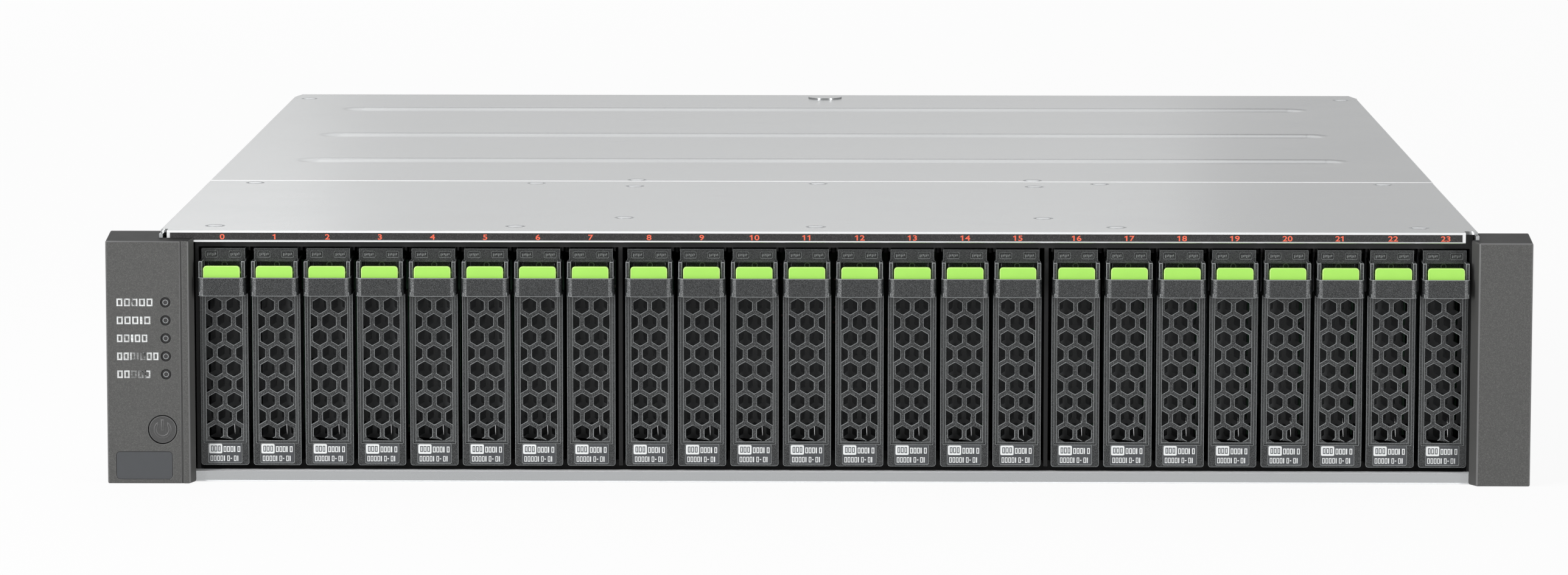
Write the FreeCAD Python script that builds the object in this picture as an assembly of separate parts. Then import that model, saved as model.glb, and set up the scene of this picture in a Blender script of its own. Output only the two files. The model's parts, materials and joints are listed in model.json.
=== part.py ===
import FreeCAD, Part
import math
import os

os.makedirs("parts", exist_ok=True)

# A disk shelf enclosure, two rack units high, with a row of upright 2.5-inch drives.
# Millimetres. x runs to the right seen from the front, y from the front to the back, z up.
# Everything is modelled from the chassis' front edge, y = 0, and its underside, z = 0, and
# is moved on saving so that the origin lies under the middle of the whole enclosure.

# Disks
disk_thickness = 14.8
disk_height = 69.85
disk_length = 100.45
disk_front = 27.0  # from the chassis' front edge to the disk
disk_socket_depth = 5.0
disk_board = 1.2

# Slots
slot_count = 24
slot_group = 8  # slots between two dividers
slot_gap = 1.54  # between neighbouring carriers
divider_gap = 2.0  # extra room beside a divider
slide_clearance = 0.3  # above and below a carrier

# Carriers
disk_side_gap = 0.75
disk_rail = 2.25  # the sled's rails under and over the disk
carrier_front = 3.0
carrier_frame_depth = 13.0
carrier_post = 1.05
label_zone = 7.65
label_size = (11.3, 6.5)
label_rise = 0.85
label_depth = 0.5
indicator_height = 4.0
indicator_inset = 0.8
indicator_lens = (3.95, 2.05)
indicator_spacing = 8.0
indicator_depth = 0.5
catch_wall_front = 7.5
catch_wall = 1.5
shield_front = 12.0
shield_thickness = 0.6
carrier_screw_radius = 2.3
carrier_screw_height = 0.9
fit_gap = 0.1  # round pieces that sit in pockets

# Levers
lever_side_gap = 0.15
lever_thickness = 1.8
lever_setback = 0.6  # behind the carrier's front
lever_bottom_gap = 0.2
lever_rim = 0.7  # closed edge beside the hexagons
hinge_rise = 1.4  # from the lever's lower edge to its hinge
hinge_radius = 0.4
hinge_hole_radius = 0.6
hinge_reach = 0.6  # of a hinge pin into the lever
hex_across = 4.74
hex_pitch = 6.29
hex_rim = 0.57
band_drop = 9.15  # from the carrier's top to the grip band's top
band_height = 6.35
band_width = 16.1
band_back_gap = 0.3
band_wall = 0.9
band_floor = 1.5
band_corner = 2.4
arm_thickness = 1.3
arm_inset = 0.2  # from the band's side
arm_setback = 2.0  # behind the band's face
arm_drop = 3.75
tab_width = 12.55
tab_drop = 5.3
tab_thickness = 1.7
tab_gap = 0.2
tab_corner = 1.1
latch_body_height = 5.7
latch_catch_gap = 0.2

# Chassis
sheet = 1.2
cage_sheet = 1.2
cage_fit = 0.24
bay_side_gap = 0.5
wire_duct = 10.1  # beside the first drive, for the operator panel's wiring
lower_guide = 2.55
upper_guide = 3.7
guide_rib = 3.3
guide_front = 20.0
guide_side_gap = 0.27
divider = 1.4
sill_height = 3.6
sill_gap = 0.5  # from the folded sill to the cage
side_flange = 12.0
chassis_depth = 520.0
cage_front = 6.0
cage_plate_back = 180.0
cover_seam = 165.0
seam_gap = 0.4

# Ears
ear_reach = 17.8  # beyond the chassis' side
ear_forward = 5.0
rack_plane = 10.0
rack_flange = 2.0
bracket_leg = 40.0
bracket_margin = 2.0
rack_hole_inset = 8.75
rack_hole_spacing = 76.2
rack_hole_radius = 3.5
ear_wall = 2.0
ear_fit = 0.2
left_ear_gap = 1.4  # to the drive bay
right_ear_gap = 0.4
left_ear_bevel = 1.6
right_ear_bevel = 2.5
ear_front_drop = 3.1
ear_top_drop = 1.2
panel_line = (0.7, 0.5)  # width and depth of the groove beside the operator panel
panel_line_inset = 2.45
lamp_count = 5
lamp_top_drop = 24.0
lamp_pitch = 6.14
lamp_inset = 7.85
lamp_radius = 1.2
lamp_ring_radius = 1.75
lamp_ring_depth = 0.5
lamp_fit = 0.05
plate_size = (19.1, 9.5)
plate_corner = 1.3
plate_recess = 0.6
plate_side = 2.95
plate_rise = 1.45
panel_board = 1.6
panel_board_front = 3.0
panel_board_side = 1.3  # from the ear's outer wall
panel_board_inner = 3.0  # from the ear's inner edge
panel_board_rows = (10.0, 70.0)
panel_post_radius = 2.5
panel_post_side = 5.0
panel_post_rows = (30.0, 62.0)
panel_notch = (8.0, 72.0)
button_radius = 4.65
button_gap = 0.35
button_flange = 1.1
button_flange_reach = 1.1
button_inset = 9.25
button_rise = 18.5
button_recess = 0.2
button_travel = 1.2
switch_size = 6.0
sign_ring = (2.9, 2.1)  # outer and inner radius of the raised power sign
sign_opening = 3.4
sign_bar = 0.85
sign_bar_rows = (-0.2, 3.3)  # above the button's middle

# Covers
lip_height = 3.9
lip_inset = (2.6, 4.6)
strip_height = 2.6
strip_end_gap = 1.0
strip_top_drop = 0.7
strip_depth = 0.3
corner_notch = 5.0  # of the front cover's corners, beside the lip
rear_corner_cut = (2.5, 14.0)
groove_width = 18.0  # of the rear cover's pressed stiffening grooves
groove_depth = 1.0
groove_side = 24.5
groove_rows = (241.0, 341.5, 452.5)
dimple_radius = 7.0
dimple_height = 0.6
cover_screw_head = 2.6
cover_screw_recess = 0.6
cover_screw_sink = 0.1  # below the cover's face
cover_screw_cross = (3.0, 0.6)
cover_seat_gap = (0.2, 1.0)  # round the head, at the seat's foot and rim
cover_screw_radius = 1.4
cover_screw_hole = 1.5
front_screw_row = 15.0
seam_screw_row = 157.5
screw_columns = (-206.0, -103.5, -1.0, 101.5, 204.5)
divider_screw_rows = (43.0, 148.0)
rear_cover_screw_front = 10.0
rear_cover_screw_back = 20.0

# Midplane
midplane_thickness = 2.4
midplane_gap = 11.55  # from the disks to the midplane
plug_size = (6.0, 42.0)
plug_clearance = 0.6
air_slot_height = 10.0
air_slot_gap = 3.0  # from a plug to the slot over or under it
module_plug_reach = 10.8
module_plug_depth = 12.0
module_plug_height = 9.0
controller_plug_width = 70.0
controller_plug_columns = (-60.0, 60.0)
power_plug_width = 60.0

# Rear modules
module_gap = 0.4
power_width = 100.2
module_wall = 1.0
board_rise = 4.0
board_thickness = 1.6
board_margin = 2.0
standoff_radius = 3.0
standoff_side = 6.0
standoff_front = 20.0
standoff_back = 60.0
port_wall = 0.8
data_port = (17.0, 9.0, 13.0)
data_port_columns = (-78.0, -54.0)
net_port = (14.0, 11.5, 13.0)
net_port_column = -20.0
vent_across = 4.0
vent_pitch = 5.2
vent_columns = 15
vent_rows = 4
vent_left = 12.0
heatsink_size = (46.0, 60.0, 18.0)
heatsink_fins = 9
heatsink_front = 120.0
heatsink_columns = (-80.0, 20.0)
inlet_size = (27.5, 20.0, 22.0)
inlet_wall = 2.2
inlet_side = 17.0  # from the power supply's side to the inlet's middle
inlet_rise = 20.0
inlet_pin = (2.0, 4.6, 12.0)
inlet_pin_places = ((-7.0, -2.0), (0.0, 3.0), (7.0, -2.0))
fan_radius = 27.0
fan_depth = 20.0
fan_blades = 7
fan_hub = 11.0
fan_frame = 2.0
fan_strut = (5.0, 2.0)
fan_rotor_back = 3.0
fan_blade = (2.0, 16.0)
fan_blade_angle = 50.0
fan_running_gap = 1.0
fan_side = 4.0
fan_drop = 8.0
grille_wire = 1.1
grille_rings = 4
grille_overlap = 1.0
handle_reach = 22.0
handle_bar = 5.0
handle_height = 58.0
handle_gap = 5.0  # from the fan
ejector_size = (26.0, 14.0, 5.0)
ejector_side = 4.0
ejector_root = 3.0
ejector_nose = 8.0
ejector_rise = 3.0
power_board_side = 3.0
power_board_back = 60.0
power_foot_side = 9.0
power_foot_back = 80.0
plug_support = (50.0, 10.0)
coil_x = (-30.0, 10.0)
coil_y = (80.0, 140.0)
coil_height = 42.0
capacitor_radius = 14.0
capacitor_height = 40.0
capacitor_place = (28.0, 60.0)
latch_bar = (8.0, 6.0, 10.0)
latch_bar_side = 4.0
latch_bar_rise = 4.0

# Places that follow from the sizes above
carrier_width = disk_thickness + 2 * disk_side_gap
carrier_height = disk_height + 2 * disk_rail
slot_pitch = carrier_width + slot_gap
group_breaks = (slot_count - 1) // slot_group
bay_width = (slot_count - 1) * slot_pitch + group_breaks * divider_gap + carrier_width
bay_margin = bay_side_gap + cage_sheet + cage_fit + sheet
chassis_width = bay_width + 2 * bay_margin + wire_duct
half_width = chassis_width / 2
inner_half = half_width - sheet
rack_half = half_width + ear_reach
bay_right = half_width - bay_margin
bay_left = bay_right - bay_width
guide_bottom = sheet + cage_sheet
carrier_bottom = guide_bottom + lower_guide + slide_clearance
carrier_top = carrier_bottom + carrier_height
deck_bottom = carrier_top + slide_clearance + upper_guide
cover_bottom = deck_bottom + cage_sheet
chassis_height = cover_bottom + sheet
disk_back = disk_front + disk_length
midplane_front = disk_back + midplane_gap
midplane_back = midplane_front + midplane_thickness
module_front = midplane_back + module_plug_reach + module_gap
frame_back = carrier_front + carrier_frame_depth
post_inner = carrier_width / 2 - carrier_post
indicator_bottom = carrier_height - indicator_height
band_top = carrier_height - band_drop
band_bottom = band_top - band_height
lever_half = post_inner - lever_side_gap
lever_front = carrier_front + lever_setback
lever_back = lever_front + lever_thickness
lever_bottom = label_zone + lever_bottom_gap
hinge_y = (lever_front + lever_back) / 2
hinge_z = lever_bottom + hinge_rise
ear_front = -ear_forward
ear_top = chassis_height - ear_top_drop
ear_face_top = chassis_height - ear_front_drop
enclosure_back = chassis_depth + handle_reach
to_origin = FreeCAD.Vector(0, -(enclosure_back + ear_front) / 2, 0)


def slot_x(slot):
    last = slot_count - 1
    breaks = last // slot_group - slot // slot_group
    return bay_right - carrier_width / 2 - (last - slot) * slot_pitch - breaks * divider_gap


def block(x, y, z):
    corner = FreeCAD.Vector(x[0], y[0], z[0])
    return Part.makeBox(x[1] - x[0], y[1] - y[0], z[1] - z[0], corner)


def centred(middle, size):
    return (middle - size / 2, middle + size / 2)


def rod_y(radius, x, z, y):
    return Part.makeCylinder(radius, y[1] - y[0], FreeCAD.Vector(x, y[0], z), FreeCAD.Vector(0, 1, 0))


def rod_x(radius, x, y, z):
    return Part.makeCylinder(radius, x[1] - x[0], FreeCAD.Vector(x[0], y, z), FreeCAD.Vector(1, 0, 0))


def rod_z(radius, x, y, z):
    return Part.makeCylinder(radius, z[1] - z[0], FreeCAD.Vector(x, y, z[0]))


def prism(corners, along):
    face = Part.Face(Part.makePolygon(corners + [corners[0]]))
    return face.extrude(along)


def plan_prism(corners, z):
    points = [FreeCAD.Vector(x, y, z[0]) for x, y in corners]
    return prism(points, FreeCAD.Vector(0, 0, z[1] - z[0]))


def side_prism(corners, x):
    points = [FreeCAD.Vector(x[0], y, z) for y, z in corners]
    return prism(points, FreeCAD.Vector(x[1] - x[0], 0, 0))


def face_prism(corners, y):
    points = [FreeCAD.Vector(x, y[0], z) for x, z in corners]
    return prism(points, FreeCAD.Vector(0, y[1] - y[0], 0))


def hexagon(across, x, z, y):
    radius = across / math.sqrt(3)
    angles = [math.radians(30 + 60 * k) for k in range(6)]
    return face_prism([(x + radius * math.cos(a), z + radius * math.sin(a)) for a in angles], y)


def rounded_plate(x, z, y, corner):
    plate = block(x, y, z)
    upright = [e for e in plate.Edges if abs(e.Length - (y[1] - y[0])) < 1e-6
               and abs(e.tangentAt(e.FirstParameter).y) > 0.99]
    return plate.makeFillet(corner, upright)


def mirrored(shape):
    return shape.mirror(FreeCAD.Vector(0, 0, 0), FreeCAD.Vector(1, 0, 0))


def moved(shape, x, y, z):
    copy = shape.copy()
    copy.translate(FreeCAD.Vector(x, y, z))
    return copy


def save(node, pieces):
    group = Part.makeCompound(pieces)
    group.translate(to_origin)
    group.exportStep(f"parts/{node}.step")


# Drive carriers, modelled round x = 0 with the carrier's underside at z = 0

def honeycomb(shift, y):
    """Hexagon cutters in rows that alternate, two across and then one with a half at each side."""
    radius = hex_across / math.sqrt(3)
    row_pitch = hex_pitch * math.sqrt(3) / 2
    lowest = lever_bottom + hex_rim + radius
    rows = int((band_bottom - hex_rim - radius - lowest) / row_pitch) + 1
    cutters = []
    for row in range(rows):
        columns = (-0.5, 0.5) if row % 2 == shift else (-1, 0, 1)
        for column in columns:
            cutters.append(hexagon(hex_across, column * hex_pitch, lowest + row * row_pitch, y))
    return cutters


def carrier_screw_places():
    return [(disk_front + disk_length * share, side) for share in (0.25, 0.8) for side in (0, 1)]


def carrier_screw(radius, height, y, side):
    z = (carrier_height - height, carrier_height) if side else (0, height)
    return rod_z(radius, 0, y, z)


def carrier_frame():
    half = carrier_width / 2
    depth = (carrier_front, frame_back)
    frame = block((-half, half), depth, (0, carrier_height))
    window = block((-post_inner, post_inner), depth, (label_zone, indicator_bottom))
    shoulders = [block(side, depth, (indicator_bottom, carrier_height))
                 for side in ((-half, -half + indicator_inset), (half - indicator_inset, half))]
    wall = block((-post_inner, post_inner), (catch_wall_front, catch_wall_front + catch_wall),
                 (band_bottom - band_floor, indicator_bottom))
    rail_reach = (frame_back, disk_back - disk_socket_depth)
    rails = [block((-half, half), rail_reach, z)
             for z in ((0, disk_rail), (carrier_height - disk_rail, carrier_height))]
    pockets = [label_piece(0, label_depth + fit_gap)]
    pockets += [lens(side, 0, indicator_depth + fit_gap) for side in (-1, 1)]
    pockets += [hinge_pin(side, fit_gap / 2) for side in (-1, 1)]
    pockets += [carrier_screw(carrier_screw_radius + fit_gap, carrier_screw_height, y, side)
                for y, side in carrier_screw_places()]
    return frame.cut([window] + shoulders).fuse([wall] + rails).cut(pockets).removeSplitter()


def label_piece(shrink, depth):
    width, height = label_size
    x = (-width / 2 + shrink, width / 2 - shrink)
    return block(x, (carrier_front, carrier_front + depth),
                 (label_rise + shrink, label_rise + height - shrink))


def lens(side, shrink, depth):
    width, height = indicator_lens
    x = centred(side * indicator_spacing / 2, width - 2 * shrink)
    z = centred(indicator_bottom + indicator_height / 2, height - 2 * shrink)
    return block(x, (carrier_front, carrier_front + depth), z)


def hinge_pin(side, growth):
    inner = lever_half - hinge_reach
    outer = post_inner + carrier_post / 2
    x = (inner, outer) if side > 0 else (-outer, -inner)
    return rod_x(hinge_radius + growth, x, hinge_y, hinge_z)


def shield():
    """The perforated screen behind the lever."""
    y = (shield_front, shield_front + shield_thickness)
    width = post_inner - fit_gap
    plate = block((-width, width), y, (label_zone, band_bottom))
    return plate.cut(honeycomb(1, y)).common(plate)


def disk():
    half = disk_thickness / 2
    body = block((-half, half - disk_board), (disk_front, disk_back),
                 (disk_rail, disk_rail + disk_height))
    socket_x = plug_size[0] + 2 * plug_clearance
    socket_z = plug_size[1] + 2 * plug_clearance
    socket = block(centred(0, socket_x), (disk_back - disk_socket_depth, disk_back),
                   centred(carrier_height / 2, socket_z))
    board_edge = 4 * disk_board
    board = block((half - disk_board, half), (disk_front + board_edge, disk_back - disk_socket_depth),
                  (disk_rail + board_edge, disk_rail + disk_height - board_edge))
    return [body.cut(socket), board]


def drive_pieces():
    pieces = [carrier_frame(), shield(), label_piece(fit_gap, label_depth)]
    pieces += disk()
    pieces += [lens(side, fit_gap, indicator_depth) for side in (-1, 1)]
    pieces += [hinge_pin(side, 0) for side in (-1, 1)]
    pieces += [carrier_screw(carrier_screw_radius, carrier_screw_height, y, side)
               for y, side in carrier_screw_places()]
    return pieces


def lever():
    """A perforated door with a grip band at its top, hinged at its foot."""
    foot = hinge_y, lever_bottom + lever_thickness / 2
    x = (-lever_half, lever_half)
    door = block(x, (lever_front, lever_back), (foot[1], band_bottom + band_floor))
    door = door.fuse(rod_x(lever_thickness / 2, x, *foot))
    door = door.cut(honeycomb(0, (lever_front, lever_back)))
    rims = [block(side, (lever_front, lever_back), (foot[1], band_bottom + band_floor))
            for side in ((-lever_half, -lever_half + lever_rim), (lever_half - lever_rim, lever_half))]
    door = door.fuse(rims)
    hinge_start = lever_half - hinge_reach - fit_gap
    holes = [rod_x(hinge_hole_radius, side, hinge_y, hinge_z)
             for side in ((hinge_start, lever_half), (-lever_half, -hinge_start))]
    band_half = band_width / 2
    band_y = (ear_front, carrier_front - band_back_gap)
    band = block((-band_half, band_half), band_y, (band_bottom, band_top))
    corners = [e for e in band.Edges if abs(e.Length - band_height) < 1e-6
               and e.CenterOfMass.y < ear_front + 1e-6]
    band = band.makeFillet(band_corner, corners)
    arm_outer = band_half - arm_inset
    arm_inner = arm_outer - arm_thickness
    hollow = block((-arm_inner, arm_inner),
                   (ear_front + band_wall, band_y[1]), (band_bottom + band_floor, band_top))
    neck = block(x, (ear_front + band_wall, lever_back), (band_bottom, band_bottom + band_floor))
    arms = [block(side, (ear_front + arm_setback, band_y[1]), (band_bottom, carrier_height - arm_drop))
            for side in ((-arm_outer, -arm_inner), (arm_inner, arm_outer))]
    return door.cut(holes).fuse([band.cut(hollow), neck] + arms).removeSplitter()


def latch():
    half = tab_width / 2
    bottom = band_bottom + band_floor + tab_gap
    top = carrier_height - tab_drop
    front = ear_front + band_wall + tab_gap
    tab = block((-half, half), (front, front + tab_thickness), (bottom, top))
    corners = [e for e in tab.Edges if abs(e.Length - tab_thickness) < 1e-6 and e.CenterOfMass.z > top - 1e-6]
    tab = tab.makeFillet(tab_corner, corners)
    back = catch_wall_front - latch_catch_gap
    body = block((-half, half), (front + tab_thickness, back), (bottom, bottom + latch_body_height))
    return tab.fuse(body).removeSplitter()


def save_drives():
    drive = drive_pieces()
    opener = [lever(), latch()]
    for slot in range(slot_count):
        place = (slot_x(slot), 0, carrier_bottom)
        save(f"drive_{slot:02d}", [moved(piece, *place) for piece in drive])
        save(f"lever_{slot:02d}", [moved(piece, *place) for piece in opener])


# Chassis

def divider_places():
    """The middle of each widened gap between two groups of slots."""
    firsts = range(slot_group, slot_count, slot_group)
    return [(slot_x(first - 1) + slot_x(first)) / 2 for first in firsts]


def tray():
    outer = block((-half_width, half_width), (0, chassis_depth), (0, cover_bottom))
    inner = block((-inner_half, inner_half), (0, chassis_depth), (sheet, cover_bottom))
    flanges = [block(x, (cage_plate_back, chassis_depth), (deck_bottom, cover_bottom))
               for x in ((-inner_half, -inner_half + side_flange), (inner_half - side_flange, inner_half))]
    lip = block((-inner_half, inner_half), (0, sheet), (sheet, sill_height))
    fold = block((-inner_half, inner_half), (0, cage_front - sill_gap), (sill_height - sheet, sill_height))
    notch = block((-half_width, -inner_half), (0, panel_board_front + 2 * panel_board), panel_notch)
    return outer.cut(inner).fuse(flanges + [lip, fold]).cut(notch).removeSplitter()


def rack_bracket():
    """The right-hand steel flange that is screwed to the rack's post."""
    z = (bracket_margin, cover_bottom - bracket_margin)
    back = rack_plane + rack_flange
    plate = block((half_width, rack_half), (rack_plane, back), z)
    leg = block((half_width, half_width + rack_flange), (back, rack_plane + bracket_leg), z)
    middle = sum(z) / 2
    holes = [rod_y(rack_hole_radius, rack_half - rack_hole_inset, middle + side * rack_hole_spacing / 2,
                   (rack_plane, back)) for side in (-1, 1)]
    return plate.fuse(leg).cut(holes).removeSplitter()


partition_x = inner_half - 2 * module_gap - power_width
shelf_z = (sheet + deck_bottom) / 2


def partitions():
    """Walls beside the power supplies and the shelf between the controllers."""
    y = (midplane_back, chassis_depth)
    walls = [block(x, y, (sheet, deck_bottom))
             for x in ((-partition_x, -partition_x + sheet), (partition_x - sheet, partition_x))]
    reach = partition_x - sheet
    shelf = block((-reach, reach), y, centred(shelf_z, sheet))
    return walls + [shelf]


def cage():
    """The black drive cage: plates, side walls, dividers and clipped guides."""
    left = bay_left - bay_side_gap - cage_sheet
    right = bay_right + bay_side_gap + cage_sheet
    upper_z = (deck_bottom - upper_guide, deck_bottom)
    lower_z = (guide_bottom, guide_bottom + lower_guide)
    deck = block((-inner_half + cage_fit / 2, inner_half - cage_fit / 2),
                 (cage_front, cage_plate_back), (deck_bottom, cover_bottom))
    deck = deck.cut([rod_z(cover_screw_hole, x, y, (deck_bottom, cover_bottom))
                     for x, y in front_cover_screws()])
    floor = block((left, right), (guide_front, midplane_front), (sheet, guide_bottom))
    sides = [block(x, (cage_front, midplane_front), (guide_bottom, deck_bottom))
             for x in ((left, left + cage_sheet), (right - cage_sheet, right))]
    inside = (left + cage_sheet, right - cage_sheet)
    guide_y = (guide_front, disk_back)
    pieces = [deck, floor] + sides
    pieces += [block(inside, guide_y, lower_z), block(inside, (cage_front, disk_back), upper_z)]
    for middle in divider_places():
        pieces.append(block(centred(middle, divider), (cage_front, disk_back), (lower_z[1], upper_z[0])))
    rib = slot_gap - 2 * guide_side_gap
    for slot in range(slot_count - 1):
        if (slot + 1) % slot_group == 0:
            continue
        x = centred((slot_x(slot) + slot_x(slot + 1)) / 2, rib)
        pieces.append(block(x, guide_y, (lower_z[1], lower_z[1] + guide_rib)))
        pieces.append(block(x, guide_y, (upper_z[0] - guide_rib, upper_z[0])))
    return pieces


def midplane():
    """The board that the drives and the rear modules plug into."""
    board_half = inner_half - ear_wall
    board = block((-board_half, board_half), (midplane_front, midplane_back), (sheet, deck_bottom))
    middle = carrier_bottom + carrier_height / 2
    plug_front = disk_back - disk_socket_depth + plug_clearance
    pieces = []
    air_slots = []
    for slot in range(slot_count):
        x = centred(slot_x(slot), plug_size[0])
        pieces.append(block(x, (plug_front, midplane_front), centred(middle, plug_size[1])))
        for side in (-1, 1):
            height = middle + side * ((plug_size[1] + air_slot_height) / 2 + air_slot_gap)
            air_slots.append(block(x, (midplane_front, midplane_back), centred(height, air_slot_height)))
    plug_y = (midplane_back, module_front - module_gap)
    for x in controller_plug_columns:
        for z in module_middles():
            pieces.append(block(centred(x, controller_plug_width), plug_y, centred(z, module_plug_height)))
    for side in (-1, 1):
        x = side * (partition_x + module_gap + power_width / 2)
        pieces.append(block(centred(x, power_plug_width), plug_y, centred(shelf_z, module_plug_height)))
    return [board.cut(air_slots)] + pieces


# Covers

def front_cover_screws():
    places = [(x, y) for y in (front_screw_row, seam_screw_row) for x in screw_columns]
    return places + [(x, y) for x in divider_places() for y in divider_screw_rows]


def rear_cover_screws():
    places = [(x, cage_plate_back - rear_cover_screw_front) for x in divider_places()]
    side_x = half_width - side_flange / 2 - sheet
    return places + [(side * side_x, chassis_depth - rear_cover_screw_back) for side in (-1, 1)]


def cover_screw(x, y, bottom):
    head_top = chassis_height - cover_screw_sink
    head_low = chassis_height - cover_screw_recess
    head = rod_z(cover_screw_head, x, y, (head_low, head_top))
    shank = rod_z(cover_screw_radius, x, y, (bottom, head_low))
    recess = [block(centred(x, wide), centred(y, deep), (head_low + cover_screw_sink, head_top))
              for wide, deep in (cover_screw_cross, cover_screw_cross[::-1])]
    return head.fuse(shank).cut(recess)


def screw_seat(x, y):
    """A countersunk seat and the hole under it."""
    low = chassis_height - cover_screw_recess
    foot, rim = [cover_screw_head + gap for gap in cover_seat_gap]
    seat = Part.makeCone(foot, rim, cover_screw_recess, FreeCAD.Vector(x, y, low))
    return seat.fuse(rod_z(cover_screw_hole, x, y, (cover_bottom, low)))


strip_x = (-half_width + lip_inset[0] + strip_end_gap, half_width - lip_inset[1] - strip_end_gap)
strip_z = (chassis_height - strip_top_drop - strip_height, chassis_height - strip_top_drop)


def front_cover():
    plate = block((-half_width, half_width), (0, cover_seam - seam_gap / 2), (cover_bottom, chassis_height))
    lip = block((-half_width + lip_inset[0], half_width - lip_inset[1]), (0, sheet),
                (chassis_height - lip_height, cover_bottom))
    pocket = block(strip_x, (0, strip_depth), strip_z)
    notches = [block(x, (0, corner_notch), (cover_bottom, chassis_height))
               for x in ((-half_width, -half_width + lip_inset[0]), (half_width - lip_inset[1], half_width))]
    seats = [screw_seat(x, y) for x, y in front_cover_screws()]
    cover = plate.fuse(lip).cut([pocket] + notches + seats).removeSplitter()
    strip = block((strip_x[0] + fit_gap, strip_x[1] - fit_gap), (fit_gap, strip_depth),
                  (strip_z[0] + fit_gap, strip_z[1] - fit_gap))
    return [cover, strip] + [cover_screw(x, y, deck_bottom) for x, y in front_cover_screws()]


def groove(y, growth, z):
    """A shallow groove with rounded ends, cut off at the levels z; growth makes the bulge under it."""
    half = groove_width / 2
    radius = (half ** 2 + groove_depth ** 2) / (2 * groove_depth)
    rise = chassis_height - groove_depth + radius
    reach = half_width - groove_side - half
    ball = Part.makeSphere(radius + growth, FreeCAD.Vector(reach, y, rise))
    bar = rod_x(radius + growth, (-reach, reach), y, rise)
    around = block((-half_width, half_width), (y - groove_width, y + groove_width), z)
    return bar.fuse([ball, mirrored(ball)]).common(around)


def rear_cover():
    cut_x, cut_y = rear_corner_cut
    back_half = half_width - cut_x
    front, turn = cover_seam + seam_gap / 2, chassis_depth - cut_y
    outline = [(-half_width, front), (half_width, front), (half_width, turn), (back_half, chassis_depth),
               (-back_half, chassis_depth), (-half_width, turn)]
    plate = plan_prism(outline, (cover_bottom, chassis_height))
    ribs = [groove(y, sheet, (cover_bottom - groove_depth, cover_bottom)) for y in groove_rows]
    grooves = [groove(y, 0, (chassis_height - groove_depth, chassis_height)) for y in groove_rows]
    dimple = rod_z(dimple_radius, 0, chassis_depth - 2 * dimple_radius,
                   (chassis_height, chassis_height + dimple_height))
    seats = [screw_seat(x, y) for x, y in rear_cover_screws()]
    cover = plate.fuse(ribs + [dimple]).cut(grooves + seats).removeSplitter()
    screws = [cover_screw(x, y, cover_bottom) for x, y in rear_cover_screws()]
    return [cover] + screws


# Ears

def ear_shell(side, inner, lead, duct_open):
    """One moulded ear, from its tip to inner, its edge beside the drives; its face ends at lead."""
    root = side * (half_width + ear_fit)
    tip = side * rack_half
    outline = [(tip, ear_front), (lead, ear_front), (inner, 0), (root, 0), (root, rack_plane),
               (tip, rack_plane)]
    shell = plan_prism(outline, (0, ear_top))
    wedge = [(ear_front, ear_face_top), (rack_plane, ear_top), (ear_front, ear_top)]
    x = (min(tip, inner), max(tip, inner))
    back = ear_front + ear_wall
    hollow_z = (ear_wall, ear_face_top - ear_wall)
    tip_wall = tip - side * ear_wall
    root_wall = root + side * ear_wall
    hollow = [(tip_wall, back), (root_wall, back), (root_wall, rack_plane), (tip_wall, rack_plane)]
    cutters = [side_prism(wedge, x), plan_prism(hollow, hollow_z)]
    if duct_open:
        lead_wall = lead + side * ear_wall
        inner_wall = inner + side * ear_wall
        duct = [(root_wall, back), (lead_wall, back), (inner_wall, 0), (root_wall, 0)]
        cutters.append(plan_prism(duct, hollow_z))
        cutters.append(block((root_wall, root), (back, rack_plane), panel_notch))
    return shell.cut(cutters).removeSplitter()


left_inner = bay_left - left_ear_gap
left_lead = left_inner - left_ear_bevel
right_inner = bay_right + right_ear_gap
right_lead = right_inner + right_ear_bevel
lamp_x = left_lead - lamp_inset
lamp_z = [chassis_height - lamp_top_drop - k * lamp_pitch for k in range(lamp_count)]
button_x = left_lead - button_inset
panel_x = (-rack_half + ear_wall + panel_board_side, left_inner - panel_board_inner)


def left_ear():
    """The operator panel: moulded shell, lamps, bare nameplate, switch and its small board."""
    back = ear_front + ear_wall
    line_width, line_depth = panel_line
    line = block(centred(left_lead - panel_line_inset, line_width), (ear_front, ear_front + line_depth),
                 (0, ear_top))
    plate_x = (-rack_half + plate_side, -rack_half + plate_side + plate_size[0])
    plate_z = (plate_rise, plate_rise + plate_size[1])
    recess = rounded_plate(plate_x, plate_z, (ear_front, ear_front + plate_recess), plate_corner)
    cutters = [line, recess, rod_y(button_radius + button_gap, button_x, button_rise, (ear_front, back))]
    pieces = []
    for z in lamp_z:
        lens_front = ear_front + lamp_ring_depth
        cutters.append(rod_y(lamp_ring_radius, lamp_x, z, (ear_front, lens_front)))
        cutters.append(rod_y(lamp_radius + lamp_fit, lamp_x, z, (lens_front, back)))
        pieces.append(rod_y(lamp_radius, lamp_x, z, (lens_front, panel_board_front)))
    shell = ear_shell(-1, left_inner, left_lead, True).cut(cutters)
    posts = [rod_y(panel_post_radius, -rack_half + ear_wall + panel_post_side, z, (back, panel_board_front))
             for z in panel_post_rows]
    shell = shell.fuse(posts).removeSplitter()
    nameplate = rounded_plate((plate_x[0] + fit_gap, plate_x[1] - fit_gap),
                              (plate_z[0] + fit_gap, plate_z[1] - fit_gap),
                              (ear_front + fit_gap, ear_front + plate_recess), plate_corner - fit_gap)
    board = block(panel_x, (panel_board_front, panel_board_front + panel_board), panel_board_rows)
    switch_front = ear_front + button_recess + ear_wall + button_flange + button_travel + button_gap
    switch = block(centred(button_x, switch_size), (switch_front, panel_board_front),
                   centred(button_rise, switch_size))
    return [shell, nameplate, board, switch] + pieces


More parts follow.
